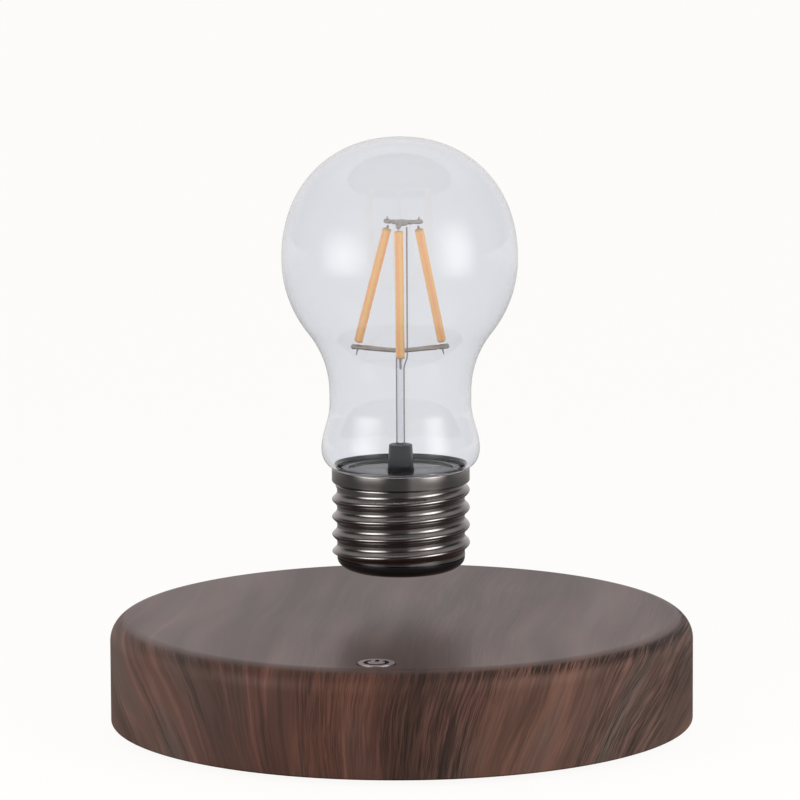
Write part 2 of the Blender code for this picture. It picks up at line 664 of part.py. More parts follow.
def make_power_socket():
    """Barrel socket whose round nose stands in the hole in the shell's back, and its centre pin."""
    half = JACK_WIDTH / 2
    low, high = (-half, JACK_BACK, JACK_BOTTOM), (half, JACK_FACE, JACK_BOTTOM + JACK_HEIGHT)
    socket = box("power_socket", low, high, BLACK_PLASTIC, BASE)
    bm = bmesh.new()
    bore_end = JACK_BACK + JACK_BACK_WALL
    add_rod(bm, JACK_NOSE_RADIUS, (0, bore_end, JACK_AXIS), (0, JACK_TIP, JACK_AXIS), SMALL_STEPS)
    shape_with(socket, "UNION", tool("socket_nose", bm, BASE))
    bm = bmesh.new()
    add_rod(bm, JACK_BORE, (0, bore_end, JACK_AXIS), (0, JACK_TIP + JACK_BORE, JACK_AXIS), SMALL_STEPS)
    shape_with(socket, "DIFFERENCE", tool("socket_bore", bm, BASE))
    bm = bmesh.new()
    add_rod(bm, JACK_PIN_RADIUS + FIT, (0, JACK_BACK - JACK_BORE, JACK_AXIS), (0, JACK_FACE, JACK_AXIS))
    shape_with(socket, "DIFFERENCE", tool("socket_pin_hole", bm, BASE))
    bm = bmesh.new()
    pin_start, pin_end = JACK_BACK - JACK_PIN_TAIL, JACK_TIP - JACK_PIN_SINK
    add_rod(bm, JACK_PIN_RADIUS, (0, pin_start, JACK_AXIS), (0, pin_end, JACK_AXIS))
    place("socket_pin", mesh_of("socket_pin", bm), NICKEL, BASE)


def make_leads():
    """Short leads from the socket and the touch board to the main board."""
    end_height = BOARD_TOP + FIT + LEAD_RADIUS
    start = (0, JACK_BACK - JACK_PIN_TAIL - FIT, JACK_AXIS)
    through = (0, POST_CIRCLE, JACK_AXIS)
    end = (-JACK_WIDTH / 2, POST_CIRCLE - RING_MARGIN / 4, end_height)
    wire("socket_lead_red", bend(start, through, end), LEAD_RADIUS, LEAD_RED, BASE)
    black_x = JACK_WIDTH / 2 - LEAD_RADIUS
    black_up = JACK_AXIS + JACK_BORE
    start = (black_x, JACK_BACK - FIT, black_up)
    through = (black_x, POST_CIRCLE, black_up)
    end = (JACK_WIDTH, POST_CIRCLE, end_height)
    wire("socket_lead_black", bend(start, through, end), LEAD_RADIUS, LEAD_BLACK, BASE)
    start = (PEG_X, KEY_Y, TOUCH_BOARD_TOP - TOUCH_BOARD_THICK - FIT)
    through = (PEG_X, KEY_Y, BOARD_TOP + RING_MARGIN / 2)
    end = (PEG_X, -POST_CIRCLE, end_height)
    wire("touch_lead", bend(start, through, end), LEAD_RADIUS, LEAD_BLACK, BASE)


def make_float_magnet():
    """Magnet disc that the base's field holds up. It lies in the nose cup."""
    disc("float_magnet", CUP_RADIUS - RUN_GAP, MAGNET_BOTTOM, MAGNET_TOP, BULB_STEPS, NICKEL, FLOAT)


def make_nose_cup():
    """Black cup at the bulb's foot, with the magnet's pocket."""
    outline = [(INNER_RADIUS, CUP_TOP), (INNER_RADIUS, NOSE_HEIGHT), (CAP_ROOT_RADIUS, NOSE_HEIGHT)]
    rounding = (NOSE_ROUND_WIDTH, NOSE_ROUND_HEIGHT)
    outline += arc((CAP_ROOT_RADIUS - NOSE_ROUND_WIDTH, NOSE_ROUND_HEIGHT), rounding, 0, -90, 6)
    outline += [(0, 0)]
    outline = [(0, NOSE_FLOOR), (CUP_RADIUS, NOSE_FLOOR), (CUP_RADIUS, CUP_TOP)] + outline
    turned("nose_cup", outline, BULB_STEPS, GLOSS_BLACK, BULB)


def thread_radius(turn, height):
    """Radius of the thread at a part turn and a height: a rounded crest, a broader root, and
    a fade to the root at both ends."""
    phase = (height - THREAD_BOTTOM - FIRST_CREST) / THREAD_PITCH - turn
    wave = 0.5 + 0.5 * math.cos(math.tau * phase)
    crest = wave**1.6
    to_end = min(height - THREAD_BOTTOM, THREAD_TOP - height)
    fade = min(1.0, max(0.0, to_end / THREAD_FADE))
    return CAP_ROOT_RADIUS + THREAD_DEPTH * crest * fade


def make_threaded_shell():
    """Thin rolled metal shell with a right-hand thread, inside and out. The rows of its grid
    climb with the thread and stop at the shell's two edges."""
    pitches = math.ceil(THREADED_LENGTH / THREAD_PITCH) + 2
    rows = pitches * THREAD_ROWS_PER_PITCH
    bm = bmesh.new()
    bmesh.ops.create_grid(bm, x_segments=BULB_STEPS, y_segments=rows, size=0.5)
    for vertex in bm.verts:
        turn, row = vertex.co.x + 0.5, round((vertex.co.y + 0.5) * rows)
        climb = row / THREAD_ROWS_PER_PITCH + turn - 2
        height = THREAD_BOTTOM + FIRST_CREST + climb * THREAD_PITCH
        height = min(max(height, THREAD_BOTTOM), THREAD_TOP)
        x, y = around(thread_radius(turn, height), math.tau * turn)
        vertex.co = (x, y, height)
    bmesh.ops.remove_doubles(bm, verts=bm.verts, dist=0.000001)
    shell = place("threaded_shell", mesh_of("threaded_shell", bm), GUNMETAL, BULB)
    solidify = shell.modifiers.new("wall", "SOLIDIFY")
    solidify.thickness = METAL_WALL
    solidify.offset = -1


def make_receiver():
    """Receiving coil and its round board, stacked on the nose cup."""
    inner = INNER_RADIUS - RECEIVER_COIL_WIDTH
    low, high = RECEIVER_COIL_BOTTOM, RECEIVER_COIL_BOTTOM + RECEIVER_COIL_HEIGHT
    ring("receiver_coil", inner, INNER_RADIUS, low, high, BULB_STEPS, COPPER, BULB)
    low, high = RECEIVER_BOARD_BOTTOM, RECEIVER_BOARD_TOP
    disc("receiver_board", INNER_RADIUS, low, high, BULB_STEPS, BOARD_GREEN, BULB)


def make_collar():
    """Metal band that clamps the glass to the cap."""
    seat = GLASS_BOTTOM - FIT
    bore = INNER_RADIUS + FIT
    lip = NECK_RADIUS + FIT
    edge = COLLAR_RADIUS - COLLAR_BREAK
    outline = [(lip, COLLAR_TOP), (edge, COLLAR_TOP), (COLLAR_RADIUS, COLLAR_TOP - COLLAR_BREAK)]
    outline += [(COLLAR_RADIUS, COLLAR_BOTTOM + COLLAR_BREAK), (edge, COLLAR_BOTTOM)]
    outline += [(bore, COLLAR_BOTTOM), (bore, seat), (lip, seat)]
    turned("cap_collar", outline, BULB_STEPS, GUNMETAL, BULB, closed=True)


def make_insert():
    """Black plug that closes the cap under the glass: a skirt, a sunk disc and a rim."""
    skirt_bottom = RECEIVER_BOARD_TOP + FIT
    disc_bottom = DISC_TOP - INSERT_DISC_THICK
    rim_top, rim_foot = COLLAR_TOP - INSERT_RIM_DROP, GLASS_BOTTOM - FIT
    hole = SLEEVE_RADIUS + FIT
    rim_inside, skirt_inside = INSERT_RIM_RADIUS - INSERT_RIM_WIDTH, INNER_RADIUS - INSERT_WALL
    outline = [(hole, DISC_TOP), (rim_inside, DISC_TOP), (rim_inside, rim_top)]
    outline += [(INSERT_RIM_RADIUS, rim_top), (INSERT_RIM_RADIUS, rim_foot), (INNER_RADIUS, rim_foot)]
    outline += [(INNER_RADIUS, skirt_bottom), (skirt_inside, skirt_bottom)]
    outline += [(skirt_inside, disc_bottom), (hole, disc_bottom)]
    turned("cap_insert", outline, BULB_STEPS, GLOSS_BLACK, BULB, closed=True)


def glass_outline():
    """Outer side of the glass from its crown down: a full dome, a round globe that runs
    tangent into a hollow neck, a soft bulge over the collar and a straight seat."""
    globe = COLLAR_TOP + GLOBE_UP
    waist = COLLAR_TOP + WAIST_UP
    hollow_foot = waist + WAIST_LENGTH
    bulge = COLLAR_TOP + BULGE_UP
    points = []
    dome_rows = 7
    power = 2 / DOME_FULLNESS
    for k in range(dome_rows + 1):
        angle = math.pi / 2 * (1 - k / dome_rows)
        across, up = abs(math.cos(angle)) ** power, abs(math.sin(angle)) ** power
        points.append((GLOBE_RADIUS * across, globe + DOME_HEIGHT * up))
    points[0] = (0, globe + DOME_HEIGHT)
    drop = globe - hollow_foot
    hollow = (WAIST_RADIUS**2 + drop**2 - GLOBE_RADIUS**2) / (2 * (GLOBE_RADIUS - WAIST_RADIUS))
    tangent = math.degrees(math.atan2(drop, WAIST_RADIUS + hollow))
    points += arc((0, globe), (GLOBE_RADIUS, GLOBE_RADIUS), 0, -tangent, 4)[1:]
    points += arc((WAIST_RADIUS + hollow, hollow_foot), (hollow, hollow), 180 - tangent, 180, 4)[1:]
    neck_rows = 3
    for k in range(neck_rows + 1):
        t = k / neck_rows
        blend = (1 - math.cos(math.pi * t)) / 2
        points.append((WAIST_RADIUS + (BULGE_RADIUS - WAIST_RADIUS) * blend, waist + (bulge - waist) * t))
    points += arc((NECK_RADIUS, bulge), (BULGE_RADIUS - NECK_RADIUS, BULGE_UP), 0, -90, 3)[1:]
    points.append((NECK_RADIUS, GLASS_BOTTOM))
    return points


def make_glass():
    """Blown envelope, open at the neck."""
    turned("glass_envelope", glass_outline(), BULB_STEPS, GLASS, BULB, wall=GLASS_WALL)


def lead_places():
    """The two points beside the glass stem where the supply wires run."""
    return [around(STEM_LEAD_AT, LEAD_ANGLE), around(STEM_LEAD_AT, LEAD_ANGLE + math.pi)]


def make_sleeve_and_stem():
    """Black sleeve on the receiver board, and the thin glass rod that stands in it."""
    bottom = RECEIVER_BOARD_TOP + FIT
    bore = STEM_RADIUS + FIT
    outline = [(bore, SLEEVE_TOP), (SLEEVE_TOP_RADIUS - SLEEVE_BREAK, SLEEVE_TOP)]
    outline += [(SLEEVE_TOP_RADIUS, SLEEVE_TOP - SLEEVE_BREAK), (SLEEVE_RADIUS, DISC_TOP)]
    outline += [(SLEEVE_RADIUS, bottom), (bore, bottom)]
    sleeve = turned("stem_sleeve", outline, SMALL_STEPS, BLACK_PLASTIC, BULB, closed=True)
    bm = bmesh.new()
    above = SLEEVE_TOP + SLEEVE_RADIUS
    for at in lead_places():
        add_cylinder(bm, STEM_LEAD_RADIUS + FIT, RECEIVER_BOARD_TOP, above, at, TINY_STEPS)
    shape_with(sleeve, "DIFFERENCE", tool("sleeve_lead_holes", bm, BULB))
    disc("glass_stem", STEM_RADIUS, bottom, STEM_TOP, TINY_STEPS, GLASS, BULB)


def spider_angles(twist):
    return [FRONT_ANGLE + twist + math.tau * k / FILAMENTS for k in range(FILAMENTS)]


def spider_middle(shift, height):
    """Middle of a spider that may stand a little off the lamp's axis, towards the long lead."""
    return Vector((*around(shift, LEAD_ANGLE), height))


def out_from(middle, circle, angle, up=0):
    """A point out from a spider's middle at an angle, and up or down from there."""
    return middle + Vector((*around(circle, angle), up))


def make_spider(name, middle, hub, arms, seat, twist, stub, front_drop=0.0):
    """Three-armed wire spider: a hub, its arms, and the crimped pin ends that stand off them,
    up or, with a negative length, down. The first arm points to the front and may slope down.
    An arm that is too short for the seat has no pin end."""
    spider = disc(name, hub, middle.z - HUB_HALF, middle.z + HUB_HALF, SMALL_STEPS, WIRE, BULB)
    spider.location = (middle.x, middle.y, 0)
    bm = bmesh.new()
    drops = [front_drop, 0.0, 0.0]
    for angle, arm, drop in zip(spider_angles(twist), arms, drops):
        start, end = out_from(middle, hub - ARM_RADIUS / 2, angle), out_from(middle, arm, angle, -drop)
        add_rod(bm, ARM_RADIUS, start, end)
    shape_with(spider, "UNION", tool(f"{name}_arms", bm, BULB))
    bm = bmesh.new()
    for angle, arm, drop in zip(spider_angles(twist), arms, drops):
        if arm > seat:
            foot_up = -drop * seat / arm
            foot = out_from(middle, seat, angle, foot_up)
            tip = out_from(middle, seat + abs(stub) / 4, angle, foot_up + stub)
            add_rod(bm, STUB_RADIUS, foot, tip, TINY_STEPS // 2)
    shape_with(spider, "UNION", tool(f"{name}_stubs", bm, BULB))


def make_filaments():
    """Three filament sticks strung between the spiders, each with a tab at both ends. The front
    one stands before the end of its lower arm, and its long lower tab points down."""
    low, high = spider_middle(0, LOWER_SPIDER), spider_middle(UPPER_SHIFT, UPPER_SPIDER)
    off_arm = HUB_HALF + FIT
    for k, (low_angle, high_angle) in enumerate(zip(spider_angles(0), spider_angles(FRAME_TWIST))):
        front = k == 0
        drop = UPPER_FRONT_DROP * UPPER_SEAT / UPPER_ARM if front else 0.0
        end = out_from(high, UPPER_SEAT, high_angle, -off_arm - drop)
        if front:
            stick_start = out_from(low, FRONT_SEAT, low_angle, -FRONT_LOW)
        else:
            start = out_from(low, LOWER_SEAT, low_angle, off_arm)
            stick_start = start + (end - start).normalized() * SHORT_TAB
        along = (end - stick_start).normalized()
        stick_end = end - along * (SHORT_TAB if front else UPPER_TAB)
        start = stick_start - along * (FRONT_TAB if front else SHORT_TAB)
        bm = bmesh.new()
        add_rod(bm, FILAMENT_RADIUS, stick_start, stick_end)
        name = f"filament_{k + 1}"
        stick = place(name, mesh_of(name, bm), PHOSPHOR, BULB)
        bm = bmesh.new()
        add_rod(bm, FILAMENT_PIN_RADIUS, start, stick_start + along * UPPER_TAB, TINY_STEPS // 2)
        add_rod(bm, FILAMENT_PIN_RADIUS, stick_end - along * UPPER_TAB, end, TINY_STEPS // 2)
        shape_with(stick, "UNION", tool(f"{name}_pins", bm, BULB))


def make_stem_leads():
    """Two wires beside the glass stem: one ends at the lower spider, and the other jogs past
    it and goes on to the upper."""
    bottom = RECEIVER_BOARD_TOP + FIT
    right, left = lead_places()
    wire("lower_lead", [(*left, bottom), (*left, STEM_TOP)], STEM_LEAD_RADIUS, WIRE, BULB)
    clear = around(UPPER_LEAD_AT, LEAD_ANGLE)
    foot = LOWER_SPIDER - HUB_HALF - LEAD_JOG
    points = [(*right, bottom), (*right, foot - LEAD_JOG), (*clear, foot)]
    points.append((*clear, UPPER_SPIDER - HUB_HALF - FIT))
    wire("upper_lead", points, STEM_LEAD_RADIUS, WIRE, BULB)


make_base_shell()
make_bottom_cover()
make_feet()
make_cover_screws()
make_main_board()
make_board_screws()
make_levitation_module()
make_power_coil()
make_touch_key()
make_power_socket()
make_leads()
make_float_magnet()
make_nose_cup()
make_threaded_shell()
make_receiver()
make_collar()
make_insert()
make_glass()
make_sleeve_and_stem()
low, high = spider_middle(0, LOWER_SPIDER), spider_middle(UPPER_SHIFT, UPPER_SPIDER)
arms = [LOWER_FRONT_ARM, LOWER_ARM, LOWER_ARM]
make_spider("lower_spider", low, LOWER_HUB, arms, LOWER_SEAT, 0, -LOWER_STUB)
arms = [UPPER_ARM, UPPER_ARM, UPPER_ARM]
make_spider("upper_spider", high, UPPER_HUB, arms, UPPER_SEAT, FRAME_TWIST, UPPER_STUB, UPPER_FRONT_DROP)
make_filaments()
make_stem_leads()
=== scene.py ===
import math

import bpy
import numpy as np
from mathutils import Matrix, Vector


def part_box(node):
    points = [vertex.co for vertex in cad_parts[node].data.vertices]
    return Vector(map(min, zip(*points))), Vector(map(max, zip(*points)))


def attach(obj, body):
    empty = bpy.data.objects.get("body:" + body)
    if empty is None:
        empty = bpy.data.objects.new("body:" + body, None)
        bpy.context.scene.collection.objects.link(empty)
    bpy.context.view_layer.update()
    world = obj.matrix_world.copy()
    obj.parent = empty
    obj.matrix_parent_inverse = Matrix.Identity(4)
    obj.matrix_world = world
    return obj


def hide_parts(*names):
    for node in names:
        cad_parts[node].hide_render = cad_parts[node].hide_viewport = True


# Levitating lamp: a clear filament bulb floats over a round wood-grain base. The sections follow
# the lamp as it is put together, from the base up. Metres, +Z up, the touch key at the front, -Y.
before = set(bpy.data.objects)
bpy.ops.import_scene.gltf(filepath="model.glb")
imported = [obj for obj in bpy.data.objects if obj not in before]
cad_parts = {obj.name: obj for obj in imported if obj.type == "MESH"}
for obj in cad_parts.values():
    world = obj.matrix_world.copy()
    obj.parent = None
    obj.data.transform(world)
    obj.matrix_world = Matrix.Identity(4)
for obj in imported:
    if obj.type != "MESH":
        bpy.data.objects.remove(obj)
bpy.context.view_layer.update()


# CAMERA AND LIGHT
# A long lens, a little to the right of the touch key, looks down on the lamp. The room is pale
# behind it and dim in front, but for a wide panel on each side and an upright softbox that stands
# on the table before each panel. Soft light also comes down from above the backdrop.
camera_turn = math.radians(5.8)
camera_distance, camera_height = 1.6, 0.3445
camera_tilt, camera_roll = 0.161, -0.005
camera_data = bpy.data.cameras.new("camera")
camera_data.sensor_width = 36.0
camera_data.lens = 284.86
camera_data.shift_x = -0.0005
camera_data.shift_y = -0.001
camera_data.clip_start = 0.1
camera_data.clip_end = 60.0
camera = bpy.data.objects.new("camera", camera_data)
camera.location = (
    camera_distance * math.sin(camera_turn), -camera_distance * math.cos(camera_turn), camera_height
)
camera.rotation_euler = (math.pi / 2 - camera_tilt, 0.0, camera_turn)
camera.rotation_euler.rotate_axis("Z", camera_roll)
bpy.context.scene.collection.objects.link(camera)
bpy.context.scene.camera = camera
bpy.context.scene.view_settings.view_transform = "Standard"


def add_node(tree, kind, inputs=None, **settings):
    """A shader node with its settings. An input is a value, or the socket that feeds it."""
    made = tree.nodes.new("ShaderNode" + kind)
    for setting, value in settings.items():
        setattr(made, setting, value)
    for place, value in (inputs or {}).items():
        if isinstance(value, bpy.types.NodeSocket):
            tree.links.new(value, made.inputs[place])
        else:
            made.inputs[place].default_value = value
    return made


def calculate(tree, operation, *values):
    """The outcome of one sum on values or sockets."""
    return add_node(tree, "Math", dict(enumerate(values)), operation=operation).outputs[0]


def dot(tree, vector, direction):
    """How far a vector reaches along a direction."""
    product = add_node(tree, "VectorMath", {0: vector, 1: direction}, operation="DOT_PRODUCT")
    return product.outputs["Value"]


def parts_of(tree, vector):
    """The X, Y and Z of a vector, as sockets."""
    return add_node(tree, "SeparateXYZ", {0: vector}).outputs


def away_from(tree, value, middle):
    """How far a value is from a middle, to either side."""
    return calculate(tree, "ABSOLUTE", calculate(tree, "SUBTRACT", value, middle))


def eased(tree, value, low, high, at_low=0.0, at_high=1.0):
    """A value that eases from at_low to at_high as another goes from low to high."""
    inputs = {"Value": value, "From Min": low, "From Max": high, "To Min": at_low, "To Max": at_high}
    return add_node(tree, "MapRange", inputs, interpolation_type="SMOOTHSTEP").outputs["Result"]


def plateau(tree, value, start, full, fading, end, height=1.0):
    """A value that eases from 0 to a height as another goes from start to full, and back to 0 as
    it goes from fading to end."""
    rise = eased(tree, value, start, full, 0.0, height)
    return calculate(tree, "MULTIPLY", rise, eased(tree, value, fading, end, 1.0, 0.0))


def chain(tree, operation, first, *more):
    """One operation carried through several values in turn."""
    for value in more:
        first = calculate(tree, operation, first, value)
    return first


camera_azimuth = camera_turn - math.pi / 2
to_camera = (math.cos(camera_azimuth), math.sin(camera_azimuth), 0.0)


def turn_from_camera(tree, vector):
    """How far round the lamp a vector points, in radians from the camera, positive to the right."""
    to_right = dot(tree, vector, (-to_camera[1], to_camera[0], 0.0))
    return calculate(tree, "ARCTAN2", to_right, dot(tree, vector, to_camera))


def seen_directly(tree, ray):
    """1 for a light path from the camera, also through the glass."""
    return calculate(tree, "MAXIMUM", ray["Is Camera Ray"], ray["Is Transmission Ray"])


backdrop_colour = (0.982, 0.973, 0.956, 1.0)
room_dim, room_pale, overhead_level = 0.08, 0.82, 0.85
right_panel_level, left_panel_level = 0.75, 0.66
world = bpy.data.worlds.new("studio")
world.use_nodes = True
bpy.context.scene.world = world
sky = world.node_tree
toward = add_node(sky, "TexCoord").outputs["Generated"]
height_seen = dot(sky, toward, (0.0, 0.0, 1.0))
behind = (-to_camera[0], -to_camera[1], 0.0)
room = eased(sky, dot(sky, toward, behind), 0.45, 0.98, room_dim, room_pale)
room = calculate(sky, "MULTIPLY", room, eased(sky, height_seen, 0.2, 0.6, 1.0, 0.35))
above = (0.4 * behind[0], 0.4 * behind[1], 0.917)
overhead = eased(sky, dot(sky, toward, above), 0.55, 0.97, 0.0, overhead_level)
turned = turn_from_camera(sky, toward)
right_panel = plateau(sky, turned, 0.20, 0.27, 0.8, 1.5, right_panel_level)
left_panel = plateau(sky, turned, -1.45, -0.9, -0.59, -0.51, left_panel_level)
panels = calculate(sky, "ADD", right_panel, left_panel)
panels = calculate(sky, "MULTIPLY", panels, eased(sky, height_seen, 0.4, 0.85, 1.0, 0.0))
lit = chain(sky, "ADD", room, overhead, panels)
seen = seen_directly(sky, add_node(sky, "LightPath").outputs)
studio = add_node(sky, "Background", {"Color": (1.0, 0.94, 0.95, 1.0), "Strength": lit}).outputs[0]
backdrop = add_node(sky, "Background", {"Color": backdrop_colour, "Strength": 1.0}).outputs[0]
shown = add_node(sky, "MixShader", {0: seen, 1: studio, 2: backdrop}).outputs[0]
sky.links.new(shown, sky.nodes["World Output"].inputs["Surface"])


softbox_distance, softbox_lift = 0.35, 0.004
foot_to_full, fading_from = 0.27, 0.43


def softbox(name, azimuth, width, height, radiance, foot):
    """An area lamp that stands upright on the table, turned to the lamp's axis. Its light fades
    from its middle to its sides and to its top, and starts at its foot, a share of its height."""
    lamp = bpy.data.lights.new(name, "AREA")
    lamp.shape = "RECTANGLE"
    lamp.size, lamp.size_y = width, height
    lamp.energy = radiance * math.pi * width * height
    lamp.use_nodes = True
    tree = lamp.node_tree
    place = parts_of(tree, add_node(tree, "NewGeometry").outputs["Parametric"])
    across = eased(tree, away_from(tree, place["X"], 0.5), 0.0, 0.5, 1.0, 0.0)
    upwards = plateau(tree, place["Y"], foot, foot + foot_to_full, fading_from, 1.0)
    mask = calculate(tree, "MULTIPLY", across, upwards)
    tree.links.new(mask, tree.nodes["Emission"].inputs["Strength"])
    stand = bpy.data.objects.new(name, lamp)
    x, y = softbox_distance * math.cos(azimuth), softbox_distance * math.sin(azimuth)
    stand.location = (x, y, height / 2 + softbox_lift)
    stand.rotation_euler = (math.pi / 2, 0.0, azimuth + math.pi / 2)
    stand.visible_camera = False
    stand.visible_transmission = False
    bpy.context.scene.collection.objects.link(stand)


softbox("left_softbox", camera_azimuth - math.radians(54), 0.45, 0.30, 5.1, 0.09)
softbox("right_softbox", camera_azimuth + math.radians(55.5), 0.36, 0.37, 5.4, 0.04)


# FLOOR
# A wide white table top. It runs out past the camera's view and keeps the lamp's soft shadow. In
# reflections it is pale behind the lamp and dim towards the camera, with a pool of light under
# each panel and a brighter patch before each softbox.
floor_reach = 8.0
floor_mesh = bpy.data.meshes.new("floor")
floor_corners = [(x * floor_reach, y * floor_reach, 0) for x, y in ((-1, -1), (1, -1), (1, 1), (-1, 1))]
floor_mesh.from_pydata(floor_corners, [], [(0, 1, 2, 3)])
floor = bpy.data.objects.new("floor", floor_mesh)
bpy.context.scene.collection.objects.link(floor)


def object_place(tree):
    """Each point's place in its object's own frame."""
    return add_node(tree, "TexCoord").outputs["Object"]


table_white = bpy.data.materials.new("table_white")
table_white.use_nodes = True
tree = table_white.node_tree
tree.nodes.remove(tree.nodes["Principled BSDF"])
ray = add_node(tree, "LightPath").outputs
matt = add_node(tree, "BsdfDiffuse", {"Color": (0.55, 0.545, 0.54, 1.0)}).outputs[0]
glow = add_node(tree, "Emission", {"Color": backdrop_colour, "Strength": 1.115}).outputs[0]
seen = calculate(tree, "MULTIPLY", seen_directly(tree, ray), 0.86)
white = add_node(tree, "MixShader", {0: seen, 1: matt, 2: glow}).outputs[0]
on_floor = object_place(tree)
pale_behind = eased(tree, parts_of(tree, on_floor)["Y"], -0.1, 0.9, 0.13, 0.75)
turned = turn_from_camera(tree, on_floor)
right_pool = plateau(tree, turned, 0.20, 0.30, 0.8, 1.4, 0.28)
left_pool = plateau(tree, turned, -1.4, -0.9, -0.62, -0.51, 0.10)
patch_turn = 0.95
aside = away_from(tree, calculate(tree, "ABSOLUTE", turned), patch_turn)
out = add_node(tree, "VectorMath", {0: on_floor}, operation="LENGTH").outputs["Value"]
patches = plateau(tree, out, 0.07, 0.12, 0.14, 0.26)
patches = calculate(tree, "MULTIPLY", patches, eased(tree, aside, 0.0, 0.40, 0.5, 0.0))
bright = chain(tree, "ADD", pale_behind, right_pool, left_pool, patches)
mirrored = add_node(tree, "Emission", {"Color": backdrop_colour, "Strength": bright}).outputs[0]
not_through_glass = calculate(tree, "SUBTRACT", 1.0, ray["Is Transmission Ray"])
reflected = calculate(tree, "MULTIPLY", ray["Is Glossy Ray"], not_through_glass)
white = add_node(tree, "MixShader", {0: reflected, 1: white, 2: mirrored}).outputs[0]
tree.links.new(white, tree.nodes["Material Output"].inputs["Surface"])
floor_mesh.materials.append(table_white)


# BASE SHELL
# A moulded cup, mouth down, 150 mm across, under a satin wood-grain film that is drawn over its
# rounded rim and down its side. It has a hole for the touch key and one for the power plug.
shell_low, shell_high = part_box("base_shell")
base_radius, shell_top, shell_foot = shell_high.x, shell_high.z, shell_low.z
rim_round, shell_wall = 0.0058, 0.0025


def rounded(corners, count=6, loop=False):
    """An outline of straight runs between corners (radius, height, rounding). A corner's arc has
    its middle where both sides are one rounding away, and touches them rounding / tan(half the
    corner's angle) from the corner."""
    corners = np.array(corners, float)
    point, rounding = corners[:, :2], corners[:, 2]
    before = np.roll(point, 1, 0) - point
    after = np.roll(point, -1, 0) - point
    before /= np.linalg.norm(before, axis=1, keepdims=True) + 1e-12
    after /= np.linalg.norm(after, axis=1, keepdims=True) + 1e-12
    half = np.arccos(np.clip((before * after).sum(1), -1, 1)) / 2
    middle_way = before + after
    middle_way /= np.linalg.norm(middle_way, axis=1, keepdims=True) + 1e-12
    middle = point + middle_way * (rounding / np.sin(half))[:, None]
    reach = (rounding / np.tan(half))[:, None]
    start, end = point + before * reach - middle, point + after * reach - middle
    swing = (np.pi - 2 * half)[:, None]
    t = np.linspace(0, 1, count)[None, :]
    first = (np.sin((1 - t) * swing) / np.sin(swing))[..., None] * start[:, None]
    second = (np.sin(t * swing) / np.sin(swing))[..., None] * end[:, None]
    arcs = middle[:, None] + first + second
    plain = rounding <= 0
    if not loop:
        plain[[0, -1]] = True
    arcs[plain] = point[plain][:, None]
    outline = arcs.reshape(-1, 2)
    keep = np.ones(len(outline), bool)
    keep[1:] = np.linalg.norm(np.diff(outline, axis=0), axis=1) > 1e-8
    return outline[keep]


def skin(points, loop=False):
    """Vertices and faces of a grid of points, shape (rows, columns, 3). Columns close round, and
    rows too with loop. Faces look to the side of rows × columns. A row whose points meet is one
    vertex, with triangles round it."""
    rows, columns = points.shape[:2]
    index = np.arange(rows * columns).reshape(rows, columns)
    meets = (points.max(axis=1) - points.min(axis=1)).max(axis=1) < 1e-9
    index[meets] = index[meets, :1]
    upper = index if loop else index[:-1]
    lower = np.roll(index, -1, axis=0) if loop else index[1:]
    around = [upper, lower, np.roll(lower, -1, axis=1), np.roll(upper, -1, axis=1)]
    used, corners = np.unique(np.stack(around, axis=-1), return_inverse=True)
    corners = corners.reshape(-1, 4)
    top_meets, foot_meets = corners[:, 0] == corners[:, 3], corners[:, 1] == corners[:, 2]
    quads = corners[~top_meets & ~foot_meets]
    fans = [corners[top_meets & ~foot_meets][:, :3], corners[foot_meets & ~top_meets][:, [0, 1, 3]]]
    return points.reshape(-1, 3)[used], quads, np.concatenate(fans)


def lathe(outline, steps=192, at=(0.0, 0.0), loop=False):
    """An outline of (radius, height) turned about an upright axis, running down its outer side:
    point = (radius × cos a, radius × sin a, height)."""
    angle = np.linspace(0, 2 * np.pi, steps, endpoint=False)
    radius, height = np.asarray(outline, float).T[:, :, None]
    x, y = at[0] + radius * np.cos(angle), at[1] + radius * np.sin(angle)
    return skin(np.stack([x, y, np.broadcast_to(height, x.shape)], axis=-1), loop)


def piece(name, material, *skins, sharp=35.0):
    """A mesh object made of skins, shaded smooth but for edges sharper than an angle."""
    points, quads, fans, count = [], [], [], 0
    for found, found_quads, found_fans in skins:
        points.append(found)
        quads += (found_quads + count).tolist()
        fans += (found_fans + count).tolist()
        count += len(found)
    mesh = bpy.data.meshes.new(name)
    mesh.from_pydata(np.concatenate(points).tolist(), [], quads + fans)
    mesh.shade_smooth()
    mesh.set_sharp_from_angle(angle=math.radians(sharp))
    mesh.materials.append(material)
    made = bpy.data.objects.new(name, mesh)
    bpy.context.scene.collection.objects.link(made)
    return made


def carve(made, *cutters, sharp=35.0, operation="DIFFERENCE"):
    """Takes the solids of the cutters out of a piece, or joins them to it. They are used up."""
    for number, cutter in enumerate(cutters):
        solid = piece(f"cutter_{number}", made.data.materials[0], *cutter)
        cut = made.modifiers.new(solid.name, "BOOLEAN")
        cut.operation = operation
        cut.solver = "EXACT"
        cut.object = solid
    bpy.context.view_layer.update()
    graph = bpy.context.evaluated_depsgraph_get()
    plain, carved = made.data, bpy.data.meshes.new_from_object(made.evaluated_get(graph))
    for cut in list(made.modifiers):
        bpy.data.objects.remove(cut.object)
        made.modifiers.remove(cut)
    made.data = carved
    bpy.data.meshes.remove(plain)
    carved.name = made.name
    carved.shade_smooth()
    carved.set_sharp_from_angle(angle=math.radians(sharp))
    return made


def new_material(name, **inputs):
    """A material whose Principled shader has these plain inputs."""
    material = bpy.data.materials.new(name)
    material.use_nodes = True
    shader = material.node_tree.nodes["Principled BSDF"]
    for label, value in inputs.items():
        shader.inputs[label.replace("_", " ")].default_value = value
    return material, material.node_tree, shader


